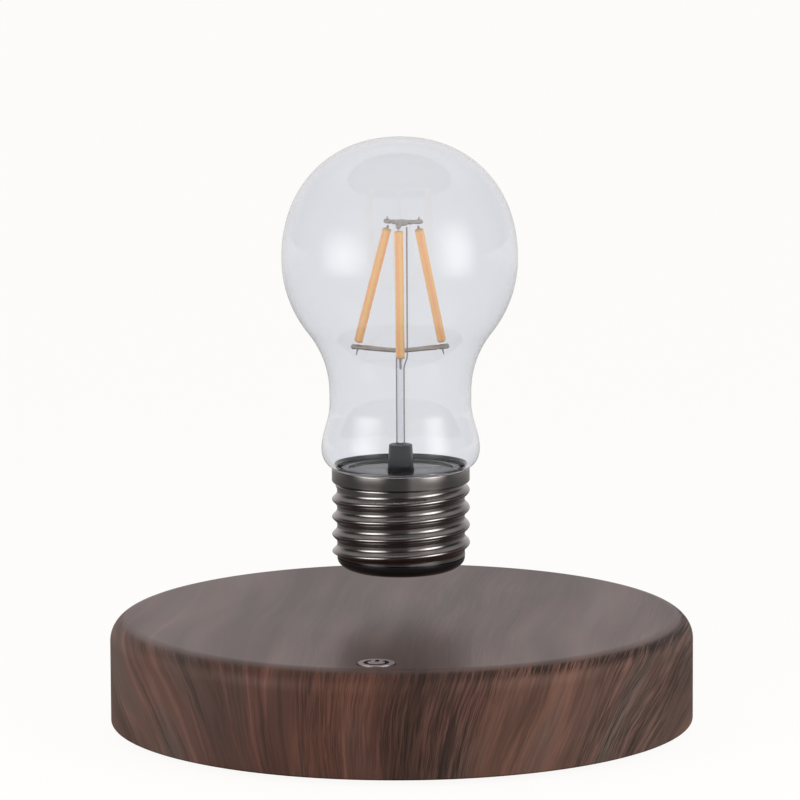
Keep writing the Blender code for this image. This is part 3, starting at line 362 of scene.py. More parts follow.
def noise(tree, vector, scale, detail=2.0, roughness=0.5):
    """Soft noise, about 0 to 1."""
    inputs = {"Vector": vector, "Scale": scale, "Detail": detail, "Roughness": roughness}
    return add_node(tree, "TexNoise", inputs).outputs[0]


def ramp(tree, factor, *stops):
    """A colour that runs through stops of (place, colour) as a factor goes from 0 to 1."""
    made = add_node(tree, "ValToRGB", {"Fac": factor})
    elements = made.color_ramp.elements
    while len(elements) < len(stops):
        elements.new(0.5)
    for element, (place, colour) in zip(elements, stops):
        element.position = place
        element.color = (*colour, 1.0)
    return made.outputs["Color"]


def mixed(tree, factor, first, second, way="MIX"):
    """Two colours mixed by a factor."""
    inputs = {0: factor, 6: first, 7: second}
    return add_node(tree, "Mix", inputs, data_type="RGBA", blend_type=way).outputs[2]


def vector_of(tree, x, y, z=0.0):
    """Three values as one vector, or as one colour."""
    return add_node(tree, "CombineXYZ", {0: x, 1: y, 2: z}).outputs[0]


def feed(tree, shader, **outcomes):
    """Links outcomes to the shader's inputs, by their names."""
    for label, outcome in outcomes.items():
        tree.links.new(outcome, shader.inputs[label.replace("_", " ")])


def relief(tree, shader, height, depth):
    """Fine relief: the height, 0 to 1, stands for a depth in metres."""
    bump = add_node(tree, "Bump", {"Strength": 1.0, "Distance": depth, "Height": height})
    feed(tree, shader, Normal=bump.outputs["Normal"])


wood_film, tree, shader = new_material("wood_film", IOR=1.35)
on_shell = parts_of(tree, object_place(tree))
drop = calculate(tree, "MAXIMUM", calculate(tree, "SUBTRACT", shell_top, on_shell["Z"]), 0.0)
# The film starts to bend over the rim 0.3 mm below the top. It is stretched by 0.65 mm for each
# millimetre that it goes down the side.
bend, film_stretch = 0.0003, 0.65
stretch = calculate(tree, "MULTIPLY_ADD", drop, film_stretch / base_radius, 1.0)
film_x = calculate(tree, "MULTIPLY", on_shell["X"], stretch)
film_y = calculate(tree, "SUBTRACT", calculate(tree, "MULTIPLY", on_shell["Y"], stretch), drop)


def film_noise(across, along, detail=2.0, roughness=0.5, shift=0.0):
    """Noise on the film, with so many waves per metre across the grain and along it."""
    x = calculate(tree, "MULTIPLY", film_x, across)
    y = calculate(tree, "MULTIPLY", film_y, along)
    return noise(tree, vector_of(tree, x, y, shift), 1.0, detail, roughness)


def nudged(value, wave, reach):
    """A place moved by up to a reach by noise round 0.5."""
    return calculate(tree, "ADD", value, calculate(tree, "MULTIPLY_ADD", wave, reach, -reach / 2))


def darker_where(wave, low, high, least):
    """A share of the light that eases from a least value at low to 1 at high."""
    return eased(tree, wave, low, high, least, 1.0)


def mixed_value(first, second, share):
    """A value that goes from the first to the second as a share goes from 0 to 1."""
    return add_node(tree, "Mix", {0: share, 2: first, 3: second}).outputs[0]


film_x = nudged(film_x, film_noise(11.0, 9.0, 1.0, shift=3.0), 0.018)
film_x = nudged(film_x, film_noise(90.0, 30.0, 2.0, shift=7.0), 0.0022)
film_x = nudged(film_x, film_noise(500.0, 200.0, 1.0, shift=8.0), 0.0004)


def place_between(value, low, high):
    """A value's place on the way from low to high, 0 to 1."""
    inputs = {"Value": value, "From Min": low, "From Max": high}
    return add_node(tree, "MapRange", inputs).outputs["Result"]


def band(middle, core, reach):
    """1 on the film within a core of a grain line, easing to 0 at a reach from it."""
    return eased(tree, away_from(tree, film_x, middle), core, reach, 1.0, 0.0)


# Broad patches run from dark brown over red-brown to grey-brown.
film_colour = ramp(
    tree, film_noise(55.0, 7.0, 2.0, 0.55, shift=11.0),
    (0.30, (0.094, 0.052, 0.038)), (0.44, (0.108, 0.060, 0.044)), (0.52, (0.145, 0.077, 0.056)),
    (0.60, (0.118, 0.072, 0.056)), (0.70, (0.140, 0.097, 0.077)),
)
# The print runs across the grain in a few broad bands of plain tones: dark, red, brown and light
# ones. A paler grey at both edges, where the side turns away, is painted sheen.
dark_band, brown_band, red_band = (0.8, 0.7, 0.7), (1.0, 0.9, 0.9), (1.3, 1.0, 0.9)
# The second tone here, the paler grey at both edges, is painted sheen.
light_band, edge_sheen_band = (1.6, 1.4, 1.3), (1.4, 1.5, 1.6)
print_and_edge_sheen = ramp(
    tree, place_between(film_x, -base_radius, base_radius),
    (0.0, edge_sheen_band), (0.2, dark_band), (0.4, red_band), (0.6, brown_band), (0.8, light_band),
    (1.0, edge_sheen_band),
)
# Dark streaks gather in groups, with calm wood between them.
weak_band = calculate(tree, "MULTIPLY", band(-0.012, 0.006, 0.014), 0.6)
busy = chain(tree, "MAXIMUM", band(0.018, 0.010, 0.022), band(0.071, 0.008, 0.016), weak_band)
gathered = film_noise(75.0, 9.0, 2.0, 0.5, shift=21.0)
calm_groups = eased(tree, gathered, 0.42, 0.58, 0.0, 0.38)
groups = mixed_value(calm_groups, eased(tree, gathered, 0.36, 0.52, 0.65, 1.0), busy)
streaks = darker_where(film_noise(1250.0, 24.0, 3.0, 0.7, shift=5.0), 0.42, 0.56, 0.50)
fine_streaks = darker_where(film_noise(2300.0, 60.0, 2.0, shift=9.0), 0.40, 0.52, 0.60)
streaks = calculate(tree, "MULTIPLY", fine_streaks, streaks)
veins = darker_where(film_noise(260.0, 9.0, 2.0, 0.6, shift=2.0), 0.34, 0.46, 0.72)
light_lines = eased(tree, film_noise(330.0, 7.0, 1.0, shift=15.0), 0.62, 0.72, 1.0, 1.3)
for middle in (-0.067, -0.0575, -0.035):
    line = calculate(tree, "MULTIPLY_ADD", band(middle, 0.0, 0.0011), 0.38, 1.0)
    light_lines = calculate(tree, "MAXIMUM", light_lines, line)
shade = chain(tree, "MULTIPLY", mixed_value(1.0, streaks, groups), veins, light_lines)
# Where the film bends over the rim, its print is stretched and the dark streaks stand out, most
# of all on the right.
on_right = eased(tree, nudged(film_x, gathered, 0.03), 0.018, 0.040, 0.34, 1.0)
over_rim = calculate(tree, "MULTIPLY", plateau(tree, drop, bend, 0.0007, 0.0014, 0.0034), on_right)
rim_streaks = darker_where(film_noise(1700.0, 40.0, 3.0, 0.75, shift=31.0), 0.46, 0.60, 0.20)
shade = calculate(tree, "MULTIPLY", shade, mixed_value(1.0, rim_streaks, over_rim))
# On the top, under a thicker and glossier satin coat, the print is painted faint and a little greyer:
# a painted sheen. It is crisp down the side.
faint, middle_shade = 0.22, 0.85
crisp = eased(tree, drop, bend, 0.0010, faint, 1.0)
shade = mixed_value(middle_shade, shade, crisp)
# Painted sheen: on the top the colour is drawn a little towards a greyer brown.
painted_sheen_share = eased(tree, crisp, faint, 1.0, 0.15, 0.0)
film_colour = mixed(tree, painted_sheen_share, film_colour, (0.120, 0.070, 0.068, 1.0))
top_tone = eased(tree, film_noise(45.0, 6.0, 2.0, 0.6, shift=41.0), 0.36, 0.64, 0.71, 1.10)
down_side = eased(tree, drop, bend, 0.0012)
shade = calculate(tree, "MULTIPLY", shade, mixed_value(top_tone, 1.0, down_side))
# Down the side, the film takes the print's bands and the painted sheen at both edges.
toned = mixed(tree, 1.0, film_colour, print_and_edge_sheen, "MULTIPLY")
film_colour = mixed(tree, down_side, film_colour, toned)
film_colour = mixed(tree, 1.0, film_colour, vector_of(tree, shade, shade, shade), "MULTIPLY")
satin = eased(tree, drop, bend, 0.0012, 0.38, 0.57)
roughness = calculate(tree, "ADD", satin, eased(tree, shade, 0.3, 1.3, 0.04, -0.04))
feed(tree, shader, Base_Color=film_colour, Roughness=roughness)
relief(tree, shader, shade, 0.00002)

key_low, key_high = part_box("touch_key")
key_y = (key_low.y + key_high.y) / 2
key_radius, key_gap = 0.0046, 0.0003
socket_low, socket_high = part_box("power_socket")
pin_low, pin_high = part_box("socket_pin")
plug_axis = (pin_low.z + pin_high.z) / 2
plug_hole = 0.0052

shell_inside = base_radius - shell_wall
shell_outline = rounded([
    (0.0, shell_top, 0.0), (base_radius - rim_round - 0.0004, shell_top, 0.0),
    (base_radius, shell_top, rim_round), (base_radius, shell_foot, 0.0006),
    (shell_inside, shell_foot, 0.0003), (shell_inside, shell_top - shell_wall, rim_round - shell_wall),
    (0.0, shell_top - shell_wall, 0.0),
], count=20)
hole_radius, hole_bevel, beyond = key_radius + key_gap, 0.0002, 0.002
key_hole = rounded([
    (0.0, shell_top + beyond, 0.0), (hole_radius + hole_bevel + beyond, shell_top + beyond, 0.0),
    (hole_radius, shell_top - hole_bevel, 0.0), (hole_radius, shell_top - 0.005, 0.0),
    (0.0, shell_top - 0.005, 0.0),
])


def turned_to_back(found, height):
    """A skin laid down from upright, so that its axis points to the back, +Y, at a height."""
    points, quads, fans = found
    return points @ np.array([[1.0, 0, 0], [0, 0, -1.0], [0, 1.0, 0]]) + [0.0, 0.0, height], quads, fans


plug_bore = rounded([
    (0.0, base_radius + 0.01, 0.0), (plug_hole, base_radius + 0.01, 0.0),
    (plug_hole, shell_inside - 0.004, 0.0), (0.0, shell_inside - 0.004, 0.0),
])
base_shell = piece("base_shell_film", wood_film, lathe(shell_outline, 256))
carve(
    base_shell, [lathe(key_hole, 96, (0.0, key_y))],
    [turned_to_back(lathe(plug_bore, 64), plug_axis)],
)
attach(base_shell, "base")
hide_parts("base_shell")


# TOUCH KEY
# A satin metal button, flush in the shell's top, with a flange below that keeps it in. The
# power symbol, an open ring and a bar, is filled in with dark enamel.
def surface_group():
    """The group that gives a plain finish its life: soft smudges in colour and roughness, and a
    fine grain as a height."""
    group = bpy.data.node_groups.new("surface_life", "ShaderNodeTree")
    for label, kind, value in [
        ("Colour", "NodeSocketColor", (0.5, 0.5, 0.5, 1.0)), ("Roughness", "NodeSocketFloat", 0.4),
        ("Smudge Scale", "NodeSocketFloat", 90.0), ("Grain Scale", "NodeSocketFloat", 4000.0),
        ("Variation", "NodeSocketFloat", 0.1),
    ]:
        group.interface.new_socket(label, in_out="INPUT", socket_type=kind).default_value = value
    for label in ("Colour", "Roughness", "Grain"):
        kind = "NodeSocketColor" if label == "Colour" else "NodeSocketFloat"
        group.interface.new_socket(label, in_out="OUTPUT", socket_type=kind)
    enter = group.nodes.new("NodeGroupInput").outputs
    leave = group.nodes.new("NodeGroupOutput").inputs
    place = object_place(group)
    smudge = noise(group, place, enter["Smudge Scale"], 4.0, 0.6)
    grain = noise(group, place, enter["Grain Scale"], 2.0, 0.6)
    swing = calculate(group, "MULTIPLY", calculate(group, "SUBTRACT", smudge, 0.5), enter["Variation"])
    lighter = calculate(group, "MULTIPLY_ADD", swing, 2.0, 1.0)
    colour = mixed(group, 1.0, enter["Colour"], vector_of(group, lighter, lighter, lighter), "MULTIPLY")
    group.links.new(colour, leave["Colour"])
    group.links.new(calculate(group, "ADD", enter["Roughness"], swing), leave["Roughness"])
    group.links.new(grain, leave["Grain"])
    return group


surface_life = surface_group()


def lively(tree, colour, roughness, smudges=90.0, grain=4000.0, variation=0.1):
    """The surface group placed in a material, with the material's own values."""
    values = {"Colour": (*colour, 1.0), "Roughness": roughness, "Smudge Scale": smudges}
    values.update({"Grain Scale": grain, "Variation": variation})
    return add_node(tree, "Group", values, node_tree=surface_life).outputs


def plain_finish(
    name, colour, roughness, grain_depth=0.0, smudges=90.0, grain=4000.0, variation=0.1, **inputs
):
    """A material of one colour with smudges and grain from the surface group."""
    material, tree, shader = new_material(name, **inputs)
    life = lively(tree, colour, roughness, smudges, grain, variation)
    feed(tree, shader, Base_Color=life["Colour"], Roughness=life["Roughness"])
    if grain_depth:
        relief(tree, shader, life["Grain"], grain_depth)
    return material


key_metal = plain_finish("key_metal", (0.66, 0.57, 0.58), 0.34, 0.000004, variation=0.06, Metallic=1.0)
key_flange = key_high.x
flange_top = shell_top - shell_wall - key_gap
key_outline = rounded([
    (0.0, key_high.z, 0.0), (key_radius - 0.0002, key_high.z, 0.0),
    (key_radius, key_high.z, 0.00007), (key_radius, flange_top, 0.0),
    (key_flange, flange_top, 0.0002), (key_flange, key_low.z, 0.0002), (0.0, key_low.z, 0.0),
])
touch_key = piece("touch_key_button", key_metal, lathe(key_outline, 96, (0.0, key_y)))
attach(touch_key, "base")
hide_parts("touch_key")


def tube(path, radius, sides=20, up=(0.0, 0.0, 1.0), squeeze=1.0, tips=6, cap=1.0):
    """A round bar along a path: point = path + radius × (cos a × side + squeeze × sin a × rise),
    with side and rise square to the path. It closes at both tips as a quarter of an ellipse does,
    which reaches cap × radius along the path."""
    path = np.asarray(path, float)
    length = np.concatenate([[0.0], np.cumsum(np.linalg.norm(np.diff(path, axis=0), axis=1))])
    radius = np.broadcast_to(np.asarray(radius, float), len(path))
    tip = np.linspace(0, np.pi / 2, tips)
    start = cap * radius[0] * (1 - np.cos(tip))
    end = length[-1] - cap * radius[-1] * (1 - np.cos(tip))[::-1]
    between = length[(length > start[-1] + 1e-7) & (length < end[0] - 1e-7)]
    places = np.concatenate([start, between, end])
    centre = np.stack([np.interp(places, length, path[:, k]) for k in range(3)], axis=1)
    heading = np.gradient(path, length, axis=0)
    heading = np.stack([np.interp(places, length, heading[:, k]) for k in range(3)], axis=1)
    heading /= np.linalg.norm(heading, axis=1, keepdims=True)
    wide = np.interp(places, length, radius)
    wide[:tips] *= np.sin(tip)
    wide[-tips:] *= np.sin(tip)[::-1]
    side = np.cross(heading, up)
    side /= np.linalg.norm(side, axis=1, keepdims=True)
    rise = np.cross(side, heading)
    angle = np.linspace(0, 2 * np.pi, sides, endpoint=False)[None, :, None]
    ring = np.cos(angle) * side[:, None] + squeeze * np.sin(angle) * rise[:, None]
    return skin(centre[:, None] + wide[:, None, None] * ring)


enamel = plain_finish("dark_enamel", (0.02, 0.015, 0.016), 0.7, IOR=1.12)
ring_radius, stroke, bar_foot, bar_top = 0.0027, 0.00052, 0.0009, 0.0033
opening = math.radians(32)
sweep = np.linspace(math.pi / 2 + opening, math.pi / 2 + 2 * math.pi - opening, 64)
face = np.full(64, key_high.z)
open_ring = np.stack([ring_radius * np.cos(sweep), key_y + ring_radius * np.sin(sweep), face], axis=1)
bar = np.linspace((0.0, key_y + bar_foot, key_high.z), (0.0, key_y + bar_top, key_high.z), 12)
symbol = piece(
    "power_symbol", enamel,
    tube(open_ring, stroke, squeeze=0.07), tube(bar, stroke, squeeze=0.07),
)
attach(symbol, "base")


# BOTTOM COVER, FEET AND SCREWS
# A black moulded plate closes the shell. Four rubber pads are glued into its seats, and four
# zinc-plated pan-head screws hold it to the shell's bosses.
moulded_black = plain_finish("moulded_black", (0.022, 0.022, 0.024), 0.48, 0.00002, grain=2600.0)
foot_rubber = plain_finish("foot_rubber", (0.016, 0.016, 0.016), 0.8, 0.00002, grain=3000.0)
zinc = plain_finish("zinc_plate", (0.56, 0.56, 0.57), 0.3, 0.000004, variation=0.12, Metallic=1.0)
cover_low, cover_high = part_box("bottom_cover")
cover_top = cover_low.z + 0.0025
cover_radius = cover_high.x
foot_seat_radius, screw_seat_radius, screw_bore_radius = 0.0063, 0.00305, 0.0018
foot_boxes = [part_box(f"rubber_foot_{k + 1}") for k in range(4)]
screw_boxes = [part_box(f"cover_screw_{k + 1}") for k in range(4)]


def middle_of(corners):
    """The (x, y) middle of a box."""
    return (corners[0].x + corners[1].x) / 2, (corners[0].y + corners[1].y) / 2


def plug(radius, low, high, at):
    """An upright cylinder to cut with."""
    return lathe([(0.0, high), (radius, high), (radius, low), (0.0, low)], 48, at)


groove_top = cover_low.z + 0.0004
cover_outline = rounded([
    (0.0, cover_top, 0.0), (cover_radius, cover_top, 0.0002), (cover_radius, cover_low.z, 0.0005),
    (cover_radius - 0.0035, cover_low.z, 0.0002), (cover_radius - 0.0037, groove_top, 0.0002),
    (cover_radius - 0.0047, groove_top, 0.0002), (cover_radius - 0.0049, cover_low.z, 0.0002),
    (cover_radius - 0.0054, cover_low.z, 0.0), (0.0, cover_low.z, 0.0),
])
below, above = cover_low.z - 0.001, cover_top + 0.001
foot_seat, screw_seat = cover_low.z + 0.001, cover_low.z + 0.0017
seats = [plug(foot_seat_radius, below, foot_seat, middle_of(corners)) for corners in foot_boxes]
sinks = [plug(screw_seat_radius, below, screw_seat, middle_of(corners)) for corners in screw_boxes]
bores = [plug(screw_bore_radius, below, above, middle_of(corners)) for corners in screw_boxes]
bottom_cover = piece("bottom_cover_plate", moulded_black, lathe(cover_outline, 192))
carve(bottom_cover, seats + sinks, bores)
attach(bottom_cover, "base")
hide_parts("bottom_cover")

for number, corners in enumerate(foot_boxes, 1):
    low, high, radius = corners[0].z, corners[1].z, (corners[1].x - corners[0].x) / 2
    outline = rounded([
        (0.0, high, 0.0), (radius, high, 0.0002), (radius, low, 0.0006), (radius - 0.0018, low, 0.0003),
        (radius - 0.0021, low + 0.0003, 0.0002), (0.0, low + 0.0003, 0.0),
    ])
    pad = piece(f"rubber_pad_{number}", foot_rubber, lathe(outline, 64, middle_of(corners)))
    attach(pad, "base")
    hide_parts(f"rubber_foot_{number}")

head_radius, screw_radius, head_height = 0.00275, 0.0015, 0.0014
screw_pitch, thread_cut, slot_reach, slot_width = 0.0006, 0.00028, 0.0017, 0.00042
for number, corners in enumerate(screw_boxes, 1):
    low, high, at = corners[0].z, corners[1].z, middle_of(corners)
    shank = np.linspace(high - 0.0012, low + head_height + screw_pitch, 96)
    ridges = 0.5 + 0.5 * np.cos(2 * np.pi * shank / screw_pitch)
    threads = np.stack([screw_radius - thread_cut * (1 - ridges), shank], axis=1)
    head = rounded([
        (0.0, low + head_height, 0.0), (head_radius, low + head_height, 0.0001),
        (head_radius, low, 0.0007), (0.0, low, 0.0),
    ])
    tip = np.array([(0.0, high), (0.0006, high - 0.0004)])
    outline = np.concatenate([tip, threads, [(screw_radius - 0.0003, low + head_height)], head[1:]])
    screw = piece(f"pan_head_screw_{number}", zinc, lathe(outline, 48, at))
    wings = []
    for way in (0.0, math.pi / 2):
        across, back = slot_reach * math.cos(way), slot_reach * math.sin(way)
        slot = np.linspace((at[0] - across, at[1] - back, low), (at[0] + across, at[1] + back, low), 8)
        wings.append([tube(slot, slot_width, 12, squeeze=2.0)])
    carve(screw, *wings)
    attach(screw, "base")
    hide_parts(f"cover_screw_{number}")


# POWER SOCKET
# A moulded barrel socket stands behind the hole in the shell's back. A thin nickel contact
# lines its bore, and the centre pin has a rounded nose.
nickel = plain_finish("nickel_plate", (0.62, 0.59, 0.55), 0.24, 0.000003, variation=0.08, Metallic=1.0)


def block(low, high, corner, edge):
    """A box with round upright corners. Near both ends its outline draws in as a quarter circle
    does: point = middle + sign × (half size - corner) + (corner - inset) × (cos a, sin a)."""
    low, high = np.array(low, float), np.array(high, float)
    middle, half = (low + high) / 2, (high - low) / 2
    turn = np.linspace(0, np.pi / 2, 6)
    angle = np.concatenate([turn + k * np.pi / 2 for k in range(4)])
    ring = np.stack([np.cos(angle), np.sin(angle)], axis=1)
    sign = np.repeat([[1, 1], [-1, 1], [-1, -1], [1, -1]], len(turn), axis=0)
    falling = edge * np.stack([1 - np.sin(turn), 1 - np.cos(turn)])
    inset = np.concatenate([falling[0], falling[0, ::-1]])[:, None, None]
    flat = middle[:2] + sign * (half[:2] - corner) + (corner - inset) * ring
    centres = np.broadcast_to(middle[:2], (1, *flat.shape[1:]))
    flat = np.concatenate([centres, flat, centres])
    height = np.concatenate([[high[2]], high[2] - falling[1], low[2] + falling[1, ::-1], [low[2]]])
    upright = np.broadcast_to(height[:, None, None], (*flat.shape[:2], 1))
    return skin(np.concatenate([flat, upright], axis=-1))


socket_half = socket_high.x
socket_tip, socket_front, socket_back = socket_high.y, socket_high.y - 0.0015, socket_low.y
bore_radius, bore_foot, nose_radius, pin_hole_radius = 0.00315, socket_back + 0.004, 0.0044, 0.0013
body = block(
    (-socket_half, plug_axis - socket_high.z, socket_back),
    (socket_half, plug_axis - socket_low.z, socket_front), 0.0006, 0.0004,
)
round_nose = rounded([
    (0.0, socket_tip, 0.0), (nose_radius, socket_tip, 0.0003), (nose_radius, socket_front - 0.002, 0.0),
    (0.0, socket_front - 0.002, 0.0),
])
socket = piece("barrel_socket", moulded_black, turned_to_back(body, plug_axis))
carve(socket, [turned_to_back(lathe(round_nose, 64), plug_axis)], operation="UNION")
bore = [
    (0.0, socket_tip + 0.003), (bore_radius, socket_tip + 0.003), (bore_radius, bore_foot), (0.0, bore_foot)
]
pin_hole = [
    (0.0, socket_front), (pin_hole_radius, socket_front), (pin_hole_radius, socket_back - 0.002),
    (0.0, socket_back - 0.002),
]
carve(
    socket, [turned_to_back(lathe(bore, 64), plug_axis)],
    [turned_to_back(lathe(pin_hole, 32), plug_axis)],
)
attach(socket, "base")
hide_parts("power_socket")

lining_outer, lining_inner = bore_radius - 0.00005, bore_radius - 0.0003
lining_foot, lining_mouth = bore_foot + 0.0002, socket_tip - 0.0004
lining = rounded([
    (lining_outer, lining_mouth, 0.0001), (lining_outer, lining_foot, 0.0),
    (lining_inner, lining_foot, 0.0), (lining_inner, lining_mouth, 0.0001),
], loop=True)
contact = piece("socket_contact", nickel, turned_to_back(lathe(lining, 64, loop=True), plug_axis))
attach(contact, "base")

pin_radius = pin_high.x
pin_outline = rounded([
    (0.0, pin_high.y, 0.0), (pin_radius, pin_high.y, pin_radius * 0.8), (pin_radius, pin_low.y, 0.0002),
    (0.0, pin_low.y, 0.0),
])
pin = piece("centre_pin", nickel, turned_to_back(lathe(pin_outline, 32), plug_axis))
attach(pin, "base")
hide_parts("socket_pin")


# NOSE CUP
# A glossy black moulded cup closes the bulb's foot. Its flange takes the threaded shell, and the
# lifting magnet lies in its pocket.
gloss_black = plain_finish("gloss_black", (0.012, 0.012, 0.013), 0.16, variation=0.05)
nose_low, nose_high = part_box("nose_cup")
foot = nose_low.z
root_radius, cup_outer, cup_inner = 0.0164, 0.0156, 0.0144
flange_up, nose_floor = 0.0035, 0.0021
nose_round_wide, nose_round_high = 0.0062, 0.0034


def arc(centre, radii, start, end, count):
    """Points of an ellipse: centre + radii × (cos a, sin a), from start to end in radians."""
    a = np.linspace(start, end, count)
    return np.stack([centre[0] + radii[0] * np.cos(a), centre[1] + radii[1] * np.sin(a)], axis=1)


pocket = rounded([
    (0.0, foot + nose_floor, 0.0), (cup_inner, foot + nose_floor, 0.0003), (cup_inner, nose_high.z, 0.0002),
    (cup_outer, nose_high.z, 0.0002), (cup_outer, foot + flange_up, 0.0),
    (root_radius, foot + flange_up, 0.0),
])
nose_middle = (root_radius - nose_round_wide, foot + nose_round_high)
rounding = arc(nose_middle, (nose_round_wide, nose_round_high), 0, -np.pi / 2, 32)
nose_outline = np.concatenate([pocket, rounding, [(0.0, foot)]])
nose = piece("nose_moulding", gloss_black, lathe(nose_outline))
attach(nose, "bulb")
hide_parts("nose_cup")


# THREADED SHELL
# A thin sheet-metal shell with a rolled right-hand thread, 4.55 mm a turn, plated in dark
# polished nickel. Rolling gives it round crests and broad shallow roots.
def from_axis(tree, place):
    """How far a place is from the upright axis through the origin, and how high it is."""
    parts = parts_of(tree, place)
    squares = [calculate(tree, "POWER", parts[label], 2.0) for label in ("X", "Y")]
    return calculate(tree, "SQRT", calculate(tree, "ADD", *squares)), parts["Z"]


# The metal keeps faint rings round the lamp's axis from its rolling and turning.
gunmetal, tree, shader = new_material("gunmetal", Metallic=1.0)
out, up = from_axis(tree, object_place(tree))
rings = noise(tree, vector_of(tree, out, up), 5000.0, 2.0)
life = lively(tree, (0.30, 0.28, 0.272), 0.2, smudges=160.0, variation=0.08)
swing = calculate(tree, "MULTIPLY_ADD", rings, 0.08, -0.04)
roughness = calculate(tree, "ADD", life["Roughness"], swing)
feed(tree, shader, Base_Color=life["Colour"], Roughness=roughness)
relief(tree, shader, rings, 0.000002)
thread_low, thread_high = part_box("threaded_shell")
thread_depth, thread_pitch, first_crest = 0.0013, 0.00455, 0.0033
thread_fade, metal_wall = 0.0012, 0.0005


def thread_radius(turn, height):
    """Radius of the thread: root + depth × (0.5 + 0.5 cos(2 pi × phase)) ^ 1.6, where the phase is
    the height over the first crest in pitches, less the turn. It fades to the root at both ends."""
    phase = (height - thread_low.z - first_crest) / thread_pitch - turn
    crest = (0.5 + 0.5 * np.cos(2 * np.pi * phase)) ** 1.6
    to_end = np.minimum(height - thread_low.z, thread_high.z - height)
    return root_radius + thread_depth * crest * np.clip(to_end / thread_fade, 0, 1)


turn = np.linspace(0, 1, 240, endpoint=False)[None, :]
outside = np.linspace(thread_high.z, thread_low.z, 182)[:, None]
inside = np.linspace(thread_low.z, thread_high.z, 90)[:, None]
radius = np.concatenate([thread_radius(turn, outside), thread_radius(turn, inside) - metal_wall])
height = np.broadcast_to(np.concatenate([outside, inside]), radius.shape)
angle = 2 * np.pi * turn
thread_grid = np.stack([radius * np.cos(angle), radius * np.sin(angle), height], axis=-1)
thread = piece("rolled_thread", gunmetal, skin(thread_grid, loop=True))
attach(thread, "bulb")
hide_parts("threaded_shell")


# COLLAR
# A turned band in the same dark plate clamps the neck of the glass to the cap.
collar_low, collar_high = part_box("cap_collar")
neck_radius, glass_foot = 0.01685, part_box("glass_envelope")[0].z
clearance = 0.0003
collar_radius, collar_top = collar_high.x, collar_high.z
collar_seat = glass_foot - clearance
collar_outline = rounded([
    (neck_radius + clearance, collar_top, 0.0001), (collar_radius, collar_top, 0.0003),
    (collar_radius, collar_low.z, 0.00045), (cup_outer + clearance, collar_low.z, 0.0002),
    (cup_outer + clearance, collar_seat, 0.0001), (neck_radius + clearance, collar_seat, 0.0001),
], loop=True)
collar = piece("collar_band", gunmetal, lathe(collar_outline, loop=True))
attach(collar, "bulb")
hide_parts("cap_collar")


# INSERT
# A glossy black plug closes the cap under the glass: a skirt, a sunk disc and a raised rim. The
# sleeve stands in its middle.
insert_low, insert_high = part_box("cap_insert")
disc_top, disc_thick, insert_wall, rim_width = collar_top - 0.0013, 0.0013, 0.001, 0.0021
envelope_wall, sleeve_radius = 0.001, 0.00335
rim_radius, sleeve_hole = neck_radius - envelope_wall - clearance, sleeve_radius + clearance
rim_top = insert_high.z - 0.0004
insert_outline = rounded([
    (sleeve_hole, disc_top, 0.0001), (rim_radius - rim_width, disc_top, 0.0003),
    (rim_radius - rim_width, rim_top, 0.0003), (rim_radius, rim_top, 0.0003),
    (rim_radius, collar_seat, 0.0), (cup_outer, collar_seat, 0.0), (cup_outer, insert_low.z, 0.0002),
    (cup_outer - insert_wall, insert_low.z, 0.0002),
    (cup_outer - insert_wall, disc_top - disc_thick, 0.0003),
    (sleeve_hole, disc_top - disc_thick, 0.0001),
], loop=True)
plug_black = plain_finish("plug_black", (0.035, 0.035, 0.037), 0.13, variation=0.05, IOR=1.6)
insert = piece("cap_plug", plug_black, lathe(insert_outline, loop=True))
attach(insert, "bulb")
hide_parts("cap_insert")


# GLASS ENVELOPE
# Clear blown glass, thin and 60 mm across: a full dome and a round globe run into a hollow
# neck, which swells over the collar and ends in a straight seat inside it.
clear_glass, tree, shader = new_material(
    "clear_glass", Base_Color=(0.893, 0.904, 0.927, 1.0), Roughness=0.0, IOR=1.42, Transmission_Weight=1.0
)
tint = add_node(tree, "VolumeAbsorption", {"Color": (0.75, 0.78, 0.84, 1.0), "Density": 180.0})
tree.links.new(tint.outputs[0], tree.nodes["Material Output"].inputs["Volume"])
glass_wall = 0.0006
globe_radius, globe_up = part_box("glass_envelope")[1].x, 0.0538
dome_height, fullness = 0.0311, 2.15
waist_radius, waist_up, waist_length = 0.01815, 0.0163, 0.003
bulge_radius, bulge_up = 0.0203, 0.0048


def glass_side():
    """Outer side of the glass from its crown down. Dome: |x / radius| ^ n + |z / height| ^ n = 1.
    Then two arcs that touch, a straight waist, a cosine swell and a quarter ellipse."""
    globe, waist, bulge = collar_top + globe_up, collar_top + waist_up, collar_top + bulge_up
    a = np.linspace(np.pi / 2, 0, 56)
    power = 2 / fullness
    across = globe_radius * np.abs(np.cos(a)) ** power
    rise = dome_height * np.abs(np.sin(a)) ** power
    across[0] = 0.0
    dome = np.stack([across, globe + rise], axis=1)
    foot_of_hollow = waist + waist_length
    drop = globe - foot_of_hollow
    hollow = (waist_radius**2 + drop**2 - globe_radius**2) / (2 * (globe_radius - waist_radius))
    tangent = math.atan2(drop, waist_radius + hollow)
    globe_arc = arc((0, globe), (globe_radius, globe_radius), 0, -tangent, 28)
    hollow_arc = arc((waist_radius + hollow, foot_of_hollow), (hollow, hollow), np.pi - tangent, np.pi, 28)
    t = np.linspace(0, 1, 22)
    swell = waist_radius + (bulge_radius - waist_radius) * (1 - np.cos(np.pi * t)) / 2
    neck = np.stack([swell, waist + (bulge - waist) * t], axis=1)
    shoulder = arc((neck_radius, bulge), (bulge_radius - neck_radius, bulge_up), 0, -np.pi / 2, 16)
    seat = np.array([(neck_radius, glass_foot + (collar_top - glass_foot) * t) for t in (0.8, 0.5, 0.2, 0.0)])
    side = np.concatenate([dome, globe_arc, hollow_arc, neck, shoulder, seat])
    keep = np.ones(len(side), bool)
    keep[1:] = np.linalg.norm(np.diff(side, axis=0), axis=1) > 1e-7
    return side[keep]


